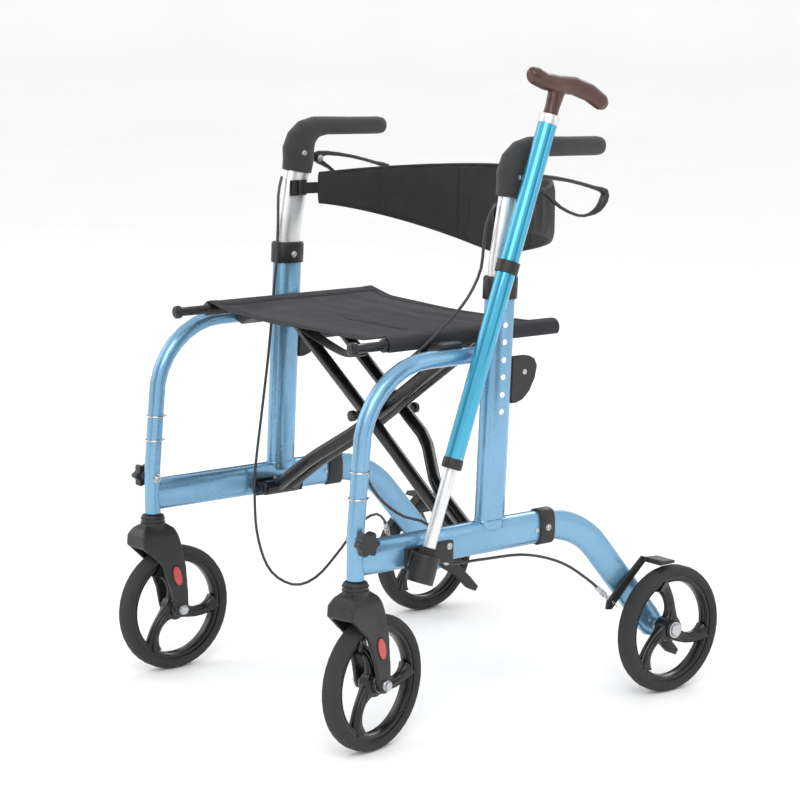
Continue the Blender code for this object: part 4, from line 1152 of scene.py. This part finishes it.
bm = bmesh.new()
for z in (0.5150, 0.4890, 0.4630):
    at = on_cane(z - 0.085)
rivet(bm, on_cane(0.4230) + X_AXIS * 0.0138, X_AXIS, 0.0022, 0.0020)
add_piece("cane_height_button", bm, STEEL, "cane")


# ---------------------------------------------------------------- stage, light and camera
def build_floor():
    bm = bmesh.new()
    sweep = [(-40.0, 0.0), (12.0, 0.0), (14.0, 0.3), (15.0, 1.4), (15.4, 14.0)]
    away = Vector((-0.78, 0.62, 0)).normalized()
    side = Vector((0.62, 0.78, 0)).normalized()
    rows = [[bm.verts.new(away * d + side * s + Z_AXIS * (z - 0.0005)) for s in (-40, 0, 40)]
            for d, z in sweep]
    for a, b in zip(rows, rows[1:]):
        for i in range(2):
            bm.faces.new((a[i], a[i + 1], b[i + 1], b[i]))
    floor = add_piece("studio_floor", bm, studio_white(), None, 80)


def studio_white():
    look = Look("studio_white", 0.85)
    cloud = look.noise(1.5, 3)
    look.colours(cloud, (0.3, (0.95, 0.95, 0.95)), (0.7, (0.97, 0.97, 0.97)))
    return look.material


def add_light(name, place, aim, size, power, colour=(1, 1, 1)):
    data = bpy.data.lights.new(name, "AREA")
    data.shape = "RECTANGLE"
    data.size, data.size_y = size
    data.energy = power
    data.color = colour
    light = bpy.data.objects.new(name, data)
    light.location = place
    light.rotation_euler = (Vector(aim) - Vector(place)).to_track_quat("-Z", "Y").to_euler()
    bpy.context.scene.collection.objects.link(light)


def add_flag(name, place, size):
    """Dark panel that only reflections see; it gives the tubes their darker streaks."""
    width, height = size
    out = Vector((place[0], place[1], 0)).normalized()
    side = out.cross(Z_AXIS)
    bm = bmesh.new()
    corners = [side * (u * width / 2) + Z_AXIS * (v * height / 2)
               for u, v in ((-1, -1), (1, -1), (1, 1), (-1, 1))]
    bm.faces.new([bm.verts.new(Vector(place) + corner) for corner in corners])
    flag = add_piece(name, bm, FLAG_CLOTH, None)
    flag.visible_camera = False
    flag.visible_diffuse = False
    flag.visible_shadow = False


def build_camera():
    azimuth, elevation, roll = (math.radians(a) for a in (51.325, 10.269, 0.546))
    back = Vector((math.sin(azimuth) * math.cos(elevation),
                   -math.cos(azimuth) * math.cos(elevation), math.sin(elevation)))
    data = bpy.data.cameras.new("camera")
    data.sensor_width = 36.0
    data.lens = 109.15
    camera = bpy.data.objects.new("camera", data)
    camera.location = Vector((0.0, -0.0248, 0.4471)) + back * 3.7635
    level = (-back).to_track_quat("-Z", "Y")
    camera.rotation_mode = "QUATERNION"
    camera.rotation_quaternion = level @ Matrix.Rotation(roll, 3, "Z").to_quaternion()
    bpy.context.scene.collection.objects.link(camera)
    bpy.context.scene.camera = camera


build_floor()
add_light("key_light", (2.6, -2.6, 3.4), (0, 0, 0.5), (2.6, 2.6), 75)
add_light("left_fill", (3.6, 1.6, 1.8), (0, 0, 0.5), (2.0, 2.6), 16)
add_light("right_fill", (-3.0, -2.2, 2.2), (0, 0, 0.5), (2.4, 2.4), 26)
add_light("rear_light", (-1.6, 3.4, 2.8), (0, 0, 0.6), (2.4, 1.8), 40)
add_flag("dark_flag_right", (3.6, 0.9, 1.2), (1.5, 4.2))
add_flag("dark_flag_front", (0.4, -4.2, 1.2), (1.6, 4.2))
add_flag("dark_flag_back", (-3.4, 2.4, 1.2), (1.8, 4.2))
world = bpy.data.worlds.new("studio")
world.use_nodes = True
world.node_tree.nodes["Background"].inputs["Color"].default_value = (1, 1, 1, 1)
world.node_tree.nodes["Background"].inputs["Strength"].default_value = 1.0
bpy.context.scene.world = world
bpy.context.scene.view_settings.view_transform = "Standard"
build_camera()
